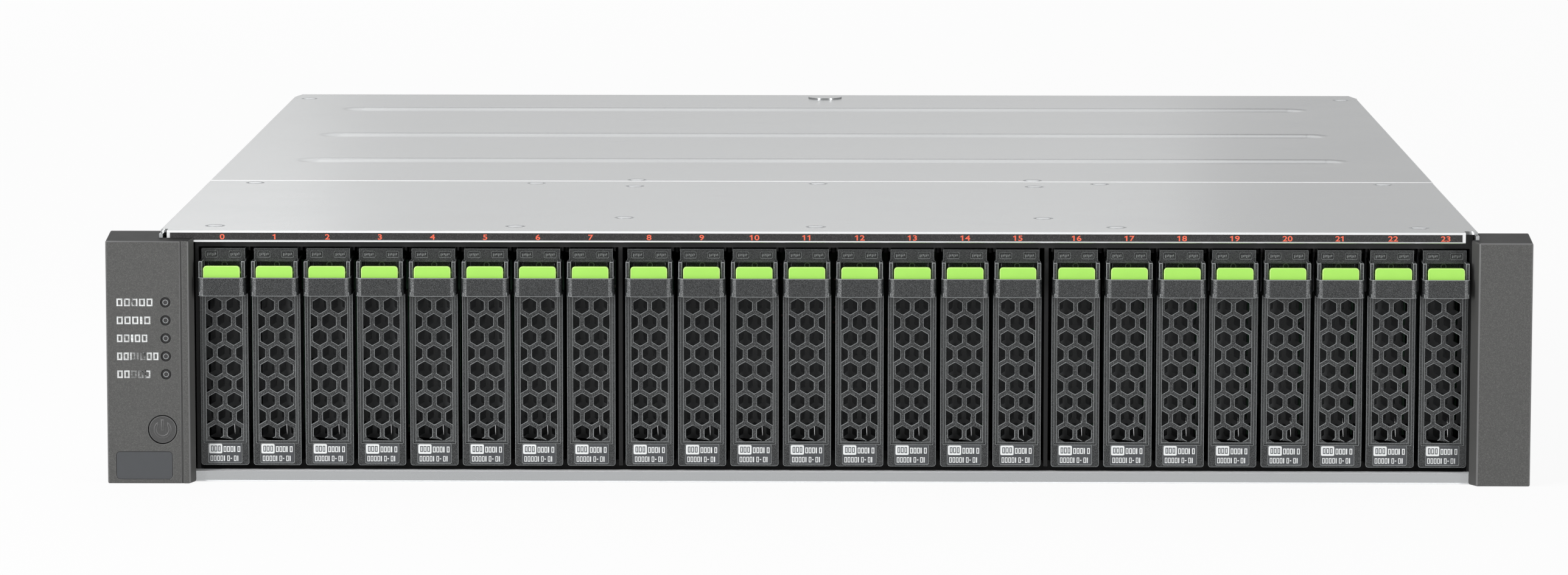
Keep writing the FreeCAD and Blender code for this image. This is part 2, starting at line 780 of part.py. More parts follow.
def power_button():
    """A round push button with the raised power sign: a broken ring and a bar."""
    face = ear_front + button_recess
    collar = ear_front + ear_wall + fit_gap
    disc = rod_y(button_radius, button_x, button_rise, (face, collar))
    flange = rod_y(button_radius + button_flange_reach, button_x, button_rise,
                   (collar, collar + button_flange))
    sign_y = (ear_front, face)
    outer, inner = sign_ring
    ring = rod_y(outer, button_x, button_rise, sign_y).cut(rod_y(inner, button_x, button_rise, sign_y))
    ring = ring.cut(block(centred(button_x, sign_opening), sign_y, (button_rise, button_rise + outer)))
    bar = block(centred(button_x, sign_bar), sign_y, [button_rise + rise for rise in sign_bar_rows])
    return [disc.fuse([flange, ring, bar]).removeSplitter()]


# Rear modules, modelled round x = 0

controller_half = partition_x - sheet - module_gap
controller_height = shelf_z - sheet / 2 - sheet - 2 * module_gap


def module_middles():
    low = sheet + module_gap + controller_height / 2
    high = shelf_z + sheet / 2 + module_gap + controller_height / 2
    return (low, high)


def shell_box(half, y, z):
    """A folded sheet casing, open towards the midplane."""
    outer = block((-half, half), y, z)
    inner = block((-half + module_wall, half - module_wall), (y[0], y[1] - module_wall),
                  (z[0] + module_wall, z[1] - module_wall))
    return outer.cut(inner)


def port_opening(size, x, low):
    width, height, depth = size
    return block(centred(x, width), (chassis_depth - depth, chassis_depth), (low, low + height))


def port_cage(size, x, low):
    """A connector shell behind the face, closed at its back."""
    width, height, depth = size
    outer = block(centred(x, width + 2 * port_wall),
                  (chassis_depth - depth - port_wall, chassis_depth - module_wall),
                  (low - port_wall, low + height + port_wall))
    return outer.cut(port_opening(size, x, low))


def heatsink(x, y, low):
    width, depth, height = heatsink_size
    base = height / 6
    pitch = (width - base) / (heatsink_fins - 1)
    pieces = [block((x, x + width), (y, y + depth), (low, low + base))]
    pieces += [block((x + k * pitch, x + k * pitch + base / 2), (y, y + depth), (low + base, low + height))
               for k in range(heatsink_fins)]
    return pieces[0].fuse(pieces[1:]).removeSplitter()


def ejector(side, low):
    """A folding insertion handle, shown closed, at one lower corner of a controller."""
    width, reach, height = ejector_size
    outer = side * (controller_half - ejector_side)
    inner = side * (controller_half - ejector_side - width)
    y = (chassis_depth, chassis_depth + reach)
    outline = [(outer, y[0]), (inner, y[0]), (inner, y[0] + ejector_root),
               (outer - side * ejector_nose, y[1]), (outer, y[1])]
    return plan_prism(outline, (low + ejector_rise, low + ejector_rise + height))


def controller(middle):
    low = middle - controller_height / 2
    z = (low, low + controller_height)
    board_low = low + board_rise
    board_top = board_low + board_thickness
    face = (chassis_depth - module_wall, chassis_depth)
    ports = [(data_port, x) for x in data_port_columns] + [(net_port, net_port_column)]
    row = vent_pitch * math.sqrt(3) / 2
    vent_low = middle - (vent_rows - 1) / 2 * row
    vents = []
    for k in range(vent_rows):
        shift = vent_left + (k % 2) * vent_pitch / 2
        vents += [hexagon(vent_across, shift + n * vent_pitch, vent_low + k * row, face)
                  for n in range(vent_columns)]
    port_low = board_top + port_wall
    casing = shell_box(controller_half, (module_front, chassis_depth), z)
    casing = casing.cut(vents + [port_opening(size, x, port_low) for size, x in ports])
    inside = controller_half - module_wall - board_margin
    board_back = chassis_depth - data_port[2] - board_margin
    board = block((-inside, inside), (module_front, board_back), (board_low, board_top))
    pieces = [casing, board] + [port_cage(size, x, port_low) for size, x in ports]
    for x in (-inside + standoff_side, inside - standoff_side):
        for y in (module_front + standoff_front, chassis_depth - standoff_back):
            pieces.append(rod_z(standoff_radius, x, y, (low + module_wall, board_low)))
    socket_y = (module_front, module_front + module_plug_depth)
    socket_z = (board_top, board_top + module_plug_height)
    for x in controller_plug_columns:
        pieces.append(block(centred(x, controller_plug_width), socket_y, socket_z))
    pieces += [heatsink(x, module_front + heatsink_front, board_top) for x in heatsink_columns]
    return pieces + [ejector(side, low) for side in (-1, 1)]


power_low = sheet + module_gap
power_high = deck_bottom - module_gap
inlet_x = -power_width / 2 + inlet_side
inlet_z = power_low + inlet_rise
fan_x = power_width / 2 - fan_radius - fan_side
fan_z = power_high - fan_radius - fan_drop


def inlet():
    """The mains inlet, a deep socket with three pins."""
    width, height, depth = inlet_size
    y = (chassis_depth - depth, chassis_depth - module_wall)
    shell = block(centred(inlet_x, width), y, centred(inlet_z, height))
    pocket = block(centred(inlet_x, width - 2 * inlet_wall), (y[0] + inlet_wall, y[1]),
                   centred(inlet_z, height - 2 * inlet_wall))
    pins = [block(centred(inlet_x + dx, inlet_pin[0]),
                  (y[0] + inlet_wall, y[0] + inlet_wall + inlet_pin[2]), centred(inlet_z + dz, inlet_pin[1]))
            for dx, dz in inlet_pin_places]
    return [shell.cut(pocket)] + pins


def fan():
    """Frame and rotor of the power supply's fan, behind its wire grille."""
    y = (chassis_depth - module_wall - fan_depth, chassis_depth - module_wall)
    side = 2 * (fan_radius + fan_frame)
    frame = block(centred(fan_x, side), y, centred(fan_z, side)).cut(rod_y(fan_radius, fan_x, fan_z, y))
    strut_height, strut_depth = fan_strut
    rotor_y = (y[0] + strut_depth, y[1] - fan_rotor_back)
    strut = block(centred(fan_x, side - fan_frame), (y[0], rotor_y[0]), centred(fan_z, strut_height))
    rotor = rod_y(fan_hub, fan_x, fan_z, rotor_y)
    blades = []
    for k in range(fan_blades):
        blade = block((fan_hub - fan_blade[0] / 2, fan_radius - fan_running_gap), centred(0, fan_blade[0]),
                      centred(0, fan_blade[1]))
        blade.rotate(FreeCAD.Vector(0, 0, 0), FreeCAD.Vector(1, 0, 0), fan_blade_angle)
        blade.rotate(FreeCAD.Vector(0, 0, 0), FreeCAD.Vector(0, 1, 0), 360 / fan_blades * k)
        blades.append(moved(blade, fan_x, sum(rotor_y) / 2, fan_z))
    return [frame.fuse(strut).removeSplitter(), rotor.fuse(blades)]


def grille():
    """A stamped guard of rings and a cross, on the outside of the fan's opening."""
    y = (chassis_depth, chassis_depth + grille_wire)
    spread = fan_radius + grille_overlap
    width = 2 * spread + grille_wire
    pieces = [block(centred(fan_x, width), y, centred(fan_z, grille_wire)),
              block(centred(fan_x, grille_wire), y, centred(fan_z, width))]
    for k in range(grille_rings):
        radius = spread * (k + 1) / grille_rings
        ring = rod_y(radius + grille_wire / 2, fan_x, fan_z, y)
        pieces.append(ring.cut(rod_y(radius - grille_wire / 2, fan_x, fan_z, y)))
    return pieces[0].fuse(pieces[1:]).removeSplitter()


def power_handle():
    """A square pull handle that stands out at the back."""
    x = (fan_x - fan_radius - handle_gap - handle_bar, fan_x - fan_radius - handle_gap)
    z = centred((power_low + power_high) / 2, handle_height)
    y = (chassis_depth, chassis_depth + handle_reach)
    outer = block(x, y, z)
    gap = block(x, (y[0], y[1] - handle_bar), (z[0] + handle_bar, z[1] - handle_bar))
    return outer.cut(gap)


def power_supply():
    half = power_width / 2
    casing = shell_box(half, (module_front, chassis_depth), (power_low, power_high))
    face = (chassis_depth - module_wall, chassis_depth)
    width, height = inlet_size[0] - 2 * inlet_wall, inlet_size[1] - 2 * inlet_wall
    openings = [rod_y(fan_radius, fan_x, fan_z, face),
                block(centred(inlet_x, width), face, centred(inlet_z, height))]
    edge = block(centred(0, power_plug_width), (module_front, module_front + module_plug_depth),
                 centred(shelf_z, module_plug_height))
    board_z = (power_low + board_rise, power_low + board_rise + board_thickness)
    board_half = half - power_board_side
    board = block((-board_half, board_half), (module_front, chassis_depth - power_board_back), board_z)
    foot_rows = (module_front + standoff_front, chassis_depth - power_foot_back)
    feet = [rod_z(standoff_radius, x, y, (power_low + module_wall, board_z[0]))
            for x in (-half + power_foot_side, half - power_foot_side) for y in foot_rows]
    support = block(centred(0, plug_support[0]), (module_front, module_front + plug_support[1]),
                    (board_z[1], shelf_z - module_plug_height / 2))
    coil = block(coil_x, [module_front + y for y in coil_y], (board_z[1], board_z[1] + coil_height))
    capacitor = rod_z(capacitor_radius, capacitor_place[0], module_front + capacitor_place[1],
                      (board_z[1], board_z[1] + capacitor_height))
    latch_right = half - latch_bar_side
    latch_low = power_low + latch_bar_rise
    release = block((latch_right - latch_bar[0], latch_right), (chassis_depth, chassis_depth + latch_bar[1]),
                    (latch_low, latch_low + latch_bar[2]))
    pieces = [casing.cut(openings), edge, board, support, coil, capacitor, grille(), power_handle(), release]
    return pieces + inlet() + fan() + feet


def save_power_supplies():
    pieces = power_supply()
    shift = partition_x + module_gap + power_width / 2
    save("power_supply_left", [moved(piece, -shift, 0, 0) for piece in pieces])
    save("power_supply_right", [moved(piece, shift, 0, 0) for piece in pieces])


bracket = rack_bracket()
lower_middle, upper_middle = module_middles()
save_drives()
save("chassis_tray", [tray(), bracket, mirrored(bracket)] + partitions())
save("drive_cage", cage())
save("midplane", midplane())
save("front_cover", front_cover())
save("rear_cover", rear_cover())
save("left_ear", left_ear())
save("right_ear", [ear_shell(1, right_inner, right_lead, False)])
save("power_button", power_button())
save("controller_lower", controller(lower_middle))
save("controller_upper", controller(upper_middle))
save_power_supplies()
print(f"enclosure {2 * rack_half:.1f} wide, {enclosure_back - ear_front:.1f} deep, {chassis_height:.1f} high")
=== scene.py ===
import bmesh
import bpy
import json
import math
from mathutils import Matrix, Vector

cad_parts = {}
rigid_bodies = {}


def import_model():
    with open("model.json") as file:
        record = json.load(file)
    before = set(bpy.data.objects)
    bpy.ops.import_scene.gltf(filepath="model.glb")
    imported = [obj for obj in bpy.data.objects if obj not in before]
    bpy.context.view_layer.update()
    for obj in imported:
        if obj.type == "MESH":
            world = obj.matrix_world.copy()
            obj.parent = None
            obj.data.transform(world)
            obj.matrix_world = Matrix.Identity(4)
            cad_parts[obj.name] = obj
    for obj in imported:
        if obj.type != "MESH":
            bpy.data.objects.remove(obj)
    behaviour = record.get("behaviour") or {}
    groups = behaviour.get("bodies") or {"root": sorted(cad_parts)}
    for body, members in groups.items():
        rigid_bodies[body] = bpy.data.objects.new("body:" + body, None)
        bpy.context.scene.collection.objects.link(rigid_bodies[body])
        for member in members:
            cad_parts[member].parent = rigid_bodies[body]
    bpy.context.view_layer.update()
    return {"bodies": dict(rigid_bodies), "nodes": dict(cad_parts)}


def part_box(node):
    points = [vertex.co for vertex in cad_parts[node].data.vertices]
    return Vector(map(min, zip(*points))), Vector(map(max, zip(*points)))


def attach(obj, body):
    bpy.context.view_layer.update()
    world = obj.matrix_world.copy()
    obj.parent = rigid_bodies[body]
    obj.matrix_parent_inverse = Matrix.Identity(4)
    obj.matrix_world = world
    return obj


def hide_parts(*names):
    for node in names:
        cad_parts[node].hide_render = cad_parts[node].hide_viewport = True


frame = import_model()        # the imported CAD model
mm = 0.001
scene = bpy.context.scene
slots = sorted(name[-2:] for name in frame["bodies"] if name.startswith("drive_"))
print("frame loaded:", len(frame["nodes"]), "nodes,", len(slots), "slots")


def addObject(name, data):
    thing = bpy.data.objects.new(name, data)
    scene.collection.objects.link(thing)
    return thing


# Camera

viewpoint = {
    "place": (0.0107, -2.3322, 0.3165), "pitch": 6.895, "yaw": 0.621, "roll": 0.043, "lens": 140.828,
    "sensor": 36.0, "clip": (0.05, 50.0),
}


def setCamera():
    data = bpy.data.cameras.new("camera")
    data.sensor_fit, data.sensor_width, data.lens = "HORIZONTAL", viewpoint["sensor"], viewpoint["lens"]
    data.clip_start, data.clip_end = viewpoint["clip"]
    camera = addObject("camera", data)
    turn = (Matrix.Rotation(math.radians(viewpoint["yaw"]), 4, "Z")
            @ Matrix.Rotation(math.radians(90 - viewpoint["pitch"]), 4, "X")
            @ Matrix.Rotation(math.radians(viewpoint["roll"]), 4, "Z"))
    camera.matrix_world = Matrix.Translation(viewpoint["place"]) @ turn
    scene.camera = camera


# Nodes, for materials and for geometry

def maths(operation, flipped=False):
    def run(self, other):
        left, right = (other, self) if flipped else (self, other)
        return self.nodes.add("ShaderNodeMath", {"operation": operation}, {0: left, 1: right})
    return run


class Wire:
    # a node's output that can stand in a sum
    def __init__(self, nodes, socket):
        self.nodes, self.socket = nodes, socket

    __add__, __radd__ = maths("ADD"), maths("ADD", True)
    __sub__, __rsub__ = maths("SUBTRACT"), maths("SUBTRACT", True)
    __mul__, __rmul__ = maths("MULTIPLY"), maths("MULTIPLY", True)
    __truediv__, __rtruediv__ = maths("DIVIDE"), maths("DIVIDE", True)
    atLeast = maths("MAXIMUM")


class Nodes:
    def __init__(self, tree):
        self.tree = tree

    def add(self, kind, settings=None, values=None, out=0):
        node = self.tree.nodes.new(kind)
        for name, value in (settings or {}).items():
            if name == "stops":
                self.setStops(node.color_ramp, value)
            else:
                setattr(node, name, value)
        for name, value in (values or {}).items():
            self.feed(node.inputs[name], value)
        return Wire(self, node.outputs[out])

    def feed(self, socket, value):
        if isinstance(value, Wire):
            self.tree.links.new(value.socket, socket)
        else:
            socket.default_value = value

    def setStops(self, ramp, stops):
        while len(ramp.elements) < len(stops):
            ramp.elements.new(0.5)
        for element, (place, tone) in zip(ramp.elements, stops):
            element.position = place
            element.color = (tone, tone, tone, 1.0)

    def blend(self, factor, first, second):
        # the Mix node's colour sockets: 6 and 7 in, 2 out
        return self.add("ShaderNodeMix", {"data_type": "RGBA"}, {0: factor, 6: first, 7: second}, out=2)

    def noise(self, place, size, detail=2.0, rough=0.5):
        values = {"Vector": place, "Scale": 1.0 / (size * mm), "Detail": detail, "Roughness": rough}
        return self.add("ShaderNodeTexNoise", {"noise_dimensions": "3D"}, values)

    def bump(self, height, depth, strength=1.0):
        values = {"Strength": strength, "Distance": depth * mm, "Height": height}
        return self.add("ShaderNodeBump", {}, values)

    def combine(self, **parts):
        return self.add("ShaderNodeCombineXYZ", {}, parts)

    def transform(self, geometry, **moves):
        return self.add("GeometryNodeTransform", {}, {"Geometry": geometry, **moves})

    def together(self, *pieces):
        join = self.add("GeometryNodeJoinGeometry")
        for piece in pieces:
            self.tree.links.new(piece.socket, join.socket.node.inputs["Geometry"])
        return join

    def without(self, solid, cutters):
        return self.add("GeometryNodeMeshBoolean", {"operation": "DIFFERENCE", "solver": "EXACT"},
                        {"Mesh 1": solid, "Mesh 2": cutters})

    def looks(self):
        # 1 for the rays of the camera, of mirrors and of glass, 0 for those that carry the room's light
        outputs = self.add("ShaderNodeLightPath").socket.node.outputs
        camera, glossy, clear = (Wire(self, outputs[f"Is {ray} Ray"]) for ray in ("Camera", "Glossy", "Transmission"))
        return camera.atLeast(glossy).atLeast(clear)


def ink(red, green, blue):
    # a screen colour, 0 to 255, as the linear colour that nodes work in
    shares = [channel / 255 for channel in (red, green, blue)]
    return tuple(s / 12.92 if s <= 0.04045 else ((s + 0.055) / 1.055) ** 2.4 for s in shares) + (1.0,)


# Finishes. Sizes are in millimetres, and each uneven share says how far a noise sways the roughness.

def newFinish(name, colour, rough, metal, fixed):
    material = bpy.data.materials.new(name)
    material.use_nodes = True
    shader = material.node_tree.nodes["Principled BSDF"].inputs
    values = {"Base Color": colour, "Roughness": rough, "Metallic": metal, **fixed}
    for key, value in values.items():
        shader[key].default_value = value
    nodes = Nodes(material.node_tree)
    place = nodes.add("ShaderNodeTexCoord", out="Object")
    return material, nodes, place, shader


def coat(nodes, shader, colour, rough, noises, uneven, relief):
    first, second = ((noise - 0.5) * share for noise, share in zip(noises, uneven))
    nodes.feed(shader["Base Color"], colour)
    nodes.feed(shader["Roughness"], rough + first + second)
    nodes.feed(shader["Normal"], relief)


sheet = {
    "cloud": 60.0, "grain": 0.5, "stretch": (1.0, 3.0, 1.0), "shares": (0.8, 0.2), "uneven": (0.12, 0.10),
    "bump": (0.004, 0.5),
    "fixed": {"Specular Tint": (0.55, 0.55, 0.55, 1.0), "Specular IOR Level": 0.25},
}
sheetSkins = {       # name, colour, duller colour, roughness, metal
    "zinc": ("zincSheet", (181, 183, 184), (171, 173, 174), 0.23, 0.85),
    "zincRear": ("zincRear", (174, 176, 177), (164, 166, 167), 0.23, 0.85),
    # a near-white, non-metal copy of the zinc for the sill's front faces: painted light
    "zincFront": ("zincFront", (253, 254, 255), (240, 242, 244), 0.4, 0.0),
    "moduleZinc": ("moduleSheet", (205, 207, 207), (190, 192, 193), 0.38, 0.85),
    # fold: a paler zinc for the covers' front-facing faces and the rear cover's seam, a painted highlight along them
    "fold": ("foldedEdge", (240, 241, 242), (234, 235, 236), 0.3, 0.85),
}


def sheetFinish(name, bright, dulled, rough, metal):
    # zinc-plated sheet, with wide dull clouds and a fine grain along its length
    colour, dull = ink(*bright), ink(*dulled)
    material, nodes, place, shader = newFinish(name, colour, rough, metal, sheet["fixed"])
    cloud = nodes.noise(place, sheet["cloud"], 3.0)
    along = nodes.add("ShaderNodeMapping", {}, {"Vector": place, "Scale": sheet["stretch"]})
    fine = nodes.noise(along, sheet["grain"])
    cloudShare, fineShare = sheet["shares"]
    tone = nodes.blend(cloud * cloudShare + fine * fineShare, colour, dull)
    coat(nodes, shader, tone, rough, (cloud, fine), sheet["uneven"], nodes.bump(fine, *sheet["bump"]))
    return material


moulding = {
    "stops": ((0.47, 0.0), (0.64, 1.0)), "sharpness": 0.6, "wide": 40, "uneven": (0.12, 0.06),
    "fixed": {"Specular IOR Level": 0.42},
}
mouldedSkins = {     # name, colour, colour of the specks, roughness, grain, depth, strength of the specks
    "carrier": ("carrierPlastic", (22, 24, 25), (124, 126, 127), 0.28, 0.22, 0.016, 0.36),
    "lever": ("leverPlastic", (24, 26, 27), (130, 132, 133), 0.25, 0.22, 0.016, 0.38),
    # a paler, smoother copy of the lever plastic for the band's rounded corners: a painted highlight
    "shine": ("shinyPlastic", (60, 62, 63), (168, 170, 171), 0.22, 0.22, 0.012, 0.6),
    "ear": ("earGrained", (70, 70, 69), (110, 110, 108), 0.44, 0.2, 0.03, 0.5),
    "button": ("buttonSatin", (64, 64, 64), (92, 92, 92), 0.32, 0.2, 0.008, 0.4),
    "strip": ("stripFilm", (24, 23, 24), (72, 70, 71), 0.6, 0.3, 0.01, 0.6),
}


def mouldedFinish(name, dark, speckled, rough, grain, depth, strength):
    # a moulded skin with fine paler specks
    colour = ink(*dark)
    material, nodes, place, shader = newFinish(name, colour, rough, 0.0, moulding["fixed"])
    coarse = nodes.noise(place, grain, rough=moulding["sharpness"])
    wide = nodes.noise(place, grain * moulding["wide"])
    specks = nodes.add("ShaderNodeValToRGB", {"stops": moulding["stops"]}, {"Fac": coarse})
    tone = nodes.blend(specks * strength, colour, ink(*speckled))
    coat(nodes, shader, tone, rough, (coarse, wide), moulding["uneven"], nodes.bump(coarse, depth))
    return material


plain = {"shade": 0.86, "wide": 30, "shares": (0.5, 0.5), "uneven": (0.12, 0.08)}
plainSkins = {       # name, colour, roughness, grain, depth, and where they are wanted, metal and other sockets
    # edge: a paler plastic painted on rounded edges as a painted highlight along them; the catch boss and the lamps'
    # lens rings take it too
    "edge": ("edgePlastic", (144, 147, 148), 0.3, 0.3, 0.01),
    "screen": ("screenPlastic", (58, 60, 61), 0.5, 0.3, 0.01),
    "mark": ("windowMarks", (132, 134, 135), 0.5, 0.2, 0.01),
    "lime": ("limePlastic", (168, 229, 96), 0.38, 0.2, 0.004),
    # a paler lime for the tab's rounded edges: a painted highlight
    "limeEdge": ("limeEdge", (214, 248, 150), 0.3, 0.2, 0.004),
    "glint": ("springSteel", (250, 250, 251), 0.2, 0.2, 0.002, 1.0),
    "slate": ("labelSlate", (66, 68, 71), 0.5, 0.12, 0.002),
    "white": ("inkWhite", (236, 238, 238), 0.5, 0.15, 0.001),
    "dark": ("inkDark", (62, 66, 70), 0.5, 0.15, 0.001),
    "coral": ("inkCoral", (240, 106, 78), 0.5, 0.15, 0.001),
    "casting": ("diskCasting", (112, 114, 116), 0.45, 0.5, 0.02, 0.3),
    "diskLid": ("diskLid", (176, 178, 180), 0.3, 0.4, 0.006, 0.95),
    "paper": ("labelPaper", (232, 232, 226), 0.55, 0.3, 0.002),
    # a paler ear plastic for the rounded front edges of the ears and of the button's sign: a painted highlight
    "earEdge": ("earEdge", (104, 104, 104), 0.4, 0.3, 0.01),
    "earSmooth": ("earSmooth", (38, 38, 38), 0.65, 0.3, 0.01, 0.0, {"Specular IOR Level": 0.15}),
    # the ear's smooth plastic, made lighter for the faces that look sideways: painted light where the lamps reach
    # less
    "earSide": ("earSide", (74, 74, 73), 0.6, 0.3, 0.01, 0.0, {"Specular IOR Level": 0.3}),
    "lens": ("lampLens", (42, 40, 42), 0.18, 0.1, 0.002, 0.0, {"Coat Weight": 0.6}),
    # ring: near black for the walls of each lamp's hole, painted shade in the recess
    "ring": ("lampRing", (14, 14, 14), 0.6, 0.1, 0.002),
    "black": ("cageBlack", (20, 20, 21), 0.55, 0.35, 0.01),
    "coverScrew": ("coverScrew", (150, 152, 154), 0.4, 0.2, 0.003, 0.9),
    "alu": ("aluminium", (196, 198, 200), 0.3, 0.3, 0.004, 0.95),
    "connector": ("connectorBlack", (28, 28, 30), 0.42, 0.2, 0.006),
    "portShell": ("portShell", (200, 202, 200), 0.28, 0.2, 0.003, 0.95),
    "ejector": ("ejectorPlastic", (60, 120, 70), 0.4, 0.2, 0.006),
    "fan": ("fanBlack", (30, 30, 32), 0.38, 0.3, 0.006),
    "copper": ("copperWinding", (190, 110, 60), 0.35, 0.4, 0.05, 0.8),
    "brass": ("contactBrass", (214, 180, 110), 0.3, 0.2, 0.003, 0.9),
}


def plainFinish(name, bright, rough, grain, depth, metal=0.0, fixed=None):
    colour = ink(*bright)
    shade = tuple(channel * plain["shade"] for channel in colour[:3]) + (1.0,)
    material, nodes, place, shader = newFinish(name, colour, rough, metal, fixed or {})
    fine, wide = nodes.noise(place, grain), nodes.noise(place, grain * plain["wide"])
    fineShare, wideShare = plain["shares"]
    tone = nodes.blend(fine * fineShare + wide * wideShare, colour, shade)
    coat(nodes, shader, tone, rough, (fine, wide), plain["uneven"], nodes.bump(fine, depth))
    return material


circuit = {
    "mask": (22, 92, 52), "track": (48, 128, 74), "pad": (190, 190, 170), "rough": 0.35, "trackScale": 180.0,
    "trackWidth": 0.012, "padScale": 260.0, "padStops": ((0.12, 1.0), (0.16, 0.0)), "padShare": 0.6,
    "bump": 0.03, "bumpStrength": 0.6,
}


def boardFinish(name):
    # solder mask over tracks, with rows of pale pads
    mask = ink(*circuit["mask"])
    material, nodes, place, shader = newFinish(name, mask, circuit["rough"], 0.0, {})
    tracks = nodes.add("ShaderNodeTexBrick", {"offset": 0.5, "squash": 1.0}, {
        "Vector": place, "Scale": circuit["trackScale"], "Mortar Size": circuit["trackWidth"]}, out="Fac")
    pads = nodes.add("ShaderNodeTexVoronoi", {"feature": "F1"}, {"Vector": place, "Scale": circuit["padScale"]},
                     out="Distance")
    pad = nodes.add("ShaderNodeValToRGB", {"stops": circuit["padStops"]}, {"Fac": pads})
    lines = nodes.blend(tracks, mask, ink(*circuit["track"]))
    nodes.feed(shader["Base Color"], nodes.blend(pad * circuit["padShare"], lines, ink(*circuit["pad"])))
    nodes.feed(shader["Normal"], nodes.bump(tracks + pad, circuit["bump"], circuit["bumpStrength"]))
    return material


finishes = {"board": boardFinish("boardGreen")}
for makeFinish, skins in ((sheetFinish, sheetSkins), (mouldedFinish, mouldedSkins), (plainFinish, plainSkins)):
    finishes |= {key: makeFinish(*skin) for key, skin in skins.items()}
print("finishes made:", len(finishes))


# Shapes. Outlines and sizes are in millimetres, and paint is a piece's finishes in order, as one string.

sharp = math.radians(32)     # edges turned further than this stay crisp
bothWays = (-1, 1)


def addBox(shape, x, y, z):
    corners = [shape.verts.new(Vector((a, b, c)) * mm) for a in x for b in y for c in z]
    for side in ((0, 1, 3, 2), (4, 6, 7, 5), (0, 4, 5, 1), (2, 3, 7, 6), (0, 2, 6, 4), (1, 5, 7, 3)):
        shape.faces.new([corners[k] for k in side])


def twins(x, y, z):
    # the same box on the right and on the left
    return [(sorted(side * end for end in x), y, z) for side in bothWays]


def rounded(outline, radii, steps=5):
    # the outline with each corner turned into an arc of its own radius
    path = []
    count = len(outline)
    for k, (point, radius) in enumerate(zip(outline, radii)):
        here = Vector(point)
        if radius == 0:
            path.append(here)
            continue
        before = (Vector(outline[k - 1]) - here).normalized()
        after = (Vector(outline[(k + 1) % count]) - here).normalized()
        half = before.angle(after) / 2
        centre = here + (before + after).normalized() * radius / math.sin(half)
        start, end = here + before * radius / math.tan(half), here + after * radius / math.tan(half)
        first = math.atan2(*(start - centre).yx)
        swing = (math.atan2(*(end - centre).yx) - first + math.pi) % (2 * math.pi) - math.pi
        for step in range(steps + 1):
            angle = first + swing * step / steps
            path.append(centre + Vector((math.cos(angle), math.sin(angle))) * radius)
    return path


def plate(wide, high, corners, steps=3):
    # a rectangle's outline: one radius for all its corners, or four from the low left one round
    outline = [(wide[0], high[0]), (wide[1], high[0]), (wide[1], high[1]), (wide[0], high[1])]
    return rounded(outline, corners if isinstance(corners, tuple) else (corners,) * 4, steps)


def addPrism(shape, outline, depth, lie="XZ"):
    # an outline drawn on the front ("XZ") or in plan ("XY"), pushed through from depth[0] to depth[1]
    def stand(point, level):
        return Vector((point[0], point[1], level) if lie == "XY" else (point[0], level, point[1])) * mm
    rings = [[shape.verts.new(stand(point, level)) for point in outline] for level in depth]
    shape.faces.new(rings[0])
    shape.faces.new(rings[1])
    addWall(shape, *rings)


def addWall(shape, ring, other):
    for k in range(len(ring)):
        shape.faces.new((ring[k - 1], ring[k], other[k], other[k - 1]))


def finished(piece, *changes):
    # shades the piece, applies the changes, which are modifiers, and leaves a plain mesh
    mesh = piece.data
    mesh.polygons.foreach_set("use_smooth", [True] * len(mesh.polygons))
    mesh.set_sharp_from_angle(angle=sharp)
    return settle(piece, *changes)


def settle(piece, *changes):
    for kind, settings in changes:
        modifier = piece.modifiers.new(kind.lower(), kind)
        for key, value in settings.items():
            setattr(modifier, key, value)
    if piece.modifiers:
        seen = piece.evaluated_get(bpy.context.evaluated_depsgraph_get())
        settled = bpy.data.meshes.new_from_object(seen)
        piece.modifiers.clear()
        old, piece.data = piece.data, settled
        settled.name = piece.name
        if not old.users:
            bpy.data.meshes.remove(old)
    return piece


def opened(mesh, distance):
    # a mesh as a shape, its vertices merged where they touch
    shape = bmesh.new()
    shape.from_mesh(mesh)
    bmesh.ops.remove_doubles(shape, verts=shape.verts, dist=distance * mm)
    return shape


def closed(shape, mesh):
    shape.to_mesh(mesh)
    shape.free()
    return mesh


def newPiece(name, shape, paint, *changes):
    bmesh.ops.recalc_face_normals(shape, faces=shape.faces)
    mesh = closed(shape, bpy.data.meshes.new(name))
    for key in paint.split():
        mesh.materials.append(finishes[key])
    return finished(addObject(name, mesh), *changes)


def boxPiece(name, boxes, paint, *changes):
    shape = bmesh.new()
    for box in boxes:
        addBox(shape, *box)
    return newPiece(name, shape, paint, *changes)


def prismPiece(name, outline, depth, paint, *changes, lie="XZ"):
    shape = bmesh.new()
    addPrism(shape, outline, depth, lie)
    return newPiece(name, shape, paint, *changes)


def bevel(width, segments=2, angle=30, number=-1, clamp=True):
    # number, where given, is the finish of the rounded edges
    return "BEVEL", {"width": width * mm, "segments": segments, "limit_method": "ANGLE", "material": number,
                     "angle_limit": math.radians(angle), "use_clamp_overlap": clamp}


def weighted(width, segments, number):
    return "BEVEL", {"width": width * mm, "segments": segments, "limit_method": "WEIGHT", "material": number,
                     "use_clamp_overlap": False}


flatter = ("WEIGHTED_NORMAL", {"keep_sharp": True, "weight": 50})


def cutBy(piece, cutter):
    settle(piece, ("BOOLEAN", {"object": cutter, "operation": "DIFFERENCE", "solver": "EXACT"}))
    discard(cutter)
    return piece


def cadPiece(name, shape, edges, paint, width, segments=4, number=-1):
    # a CAD node's copy with round edges: edges says each one's share of the width
    weigh(shape, edges)
    return newPiece(name, shape, paint, weighted(width, segments, number), flatter)


def repaint(piece, choose):
    # choose gives a face's new finish number, or None to leave it as it is
    for face in piece.data.polygons:
        number = choose(face, *(face.center / mm))
        if number is not None:
            face.material_index = number


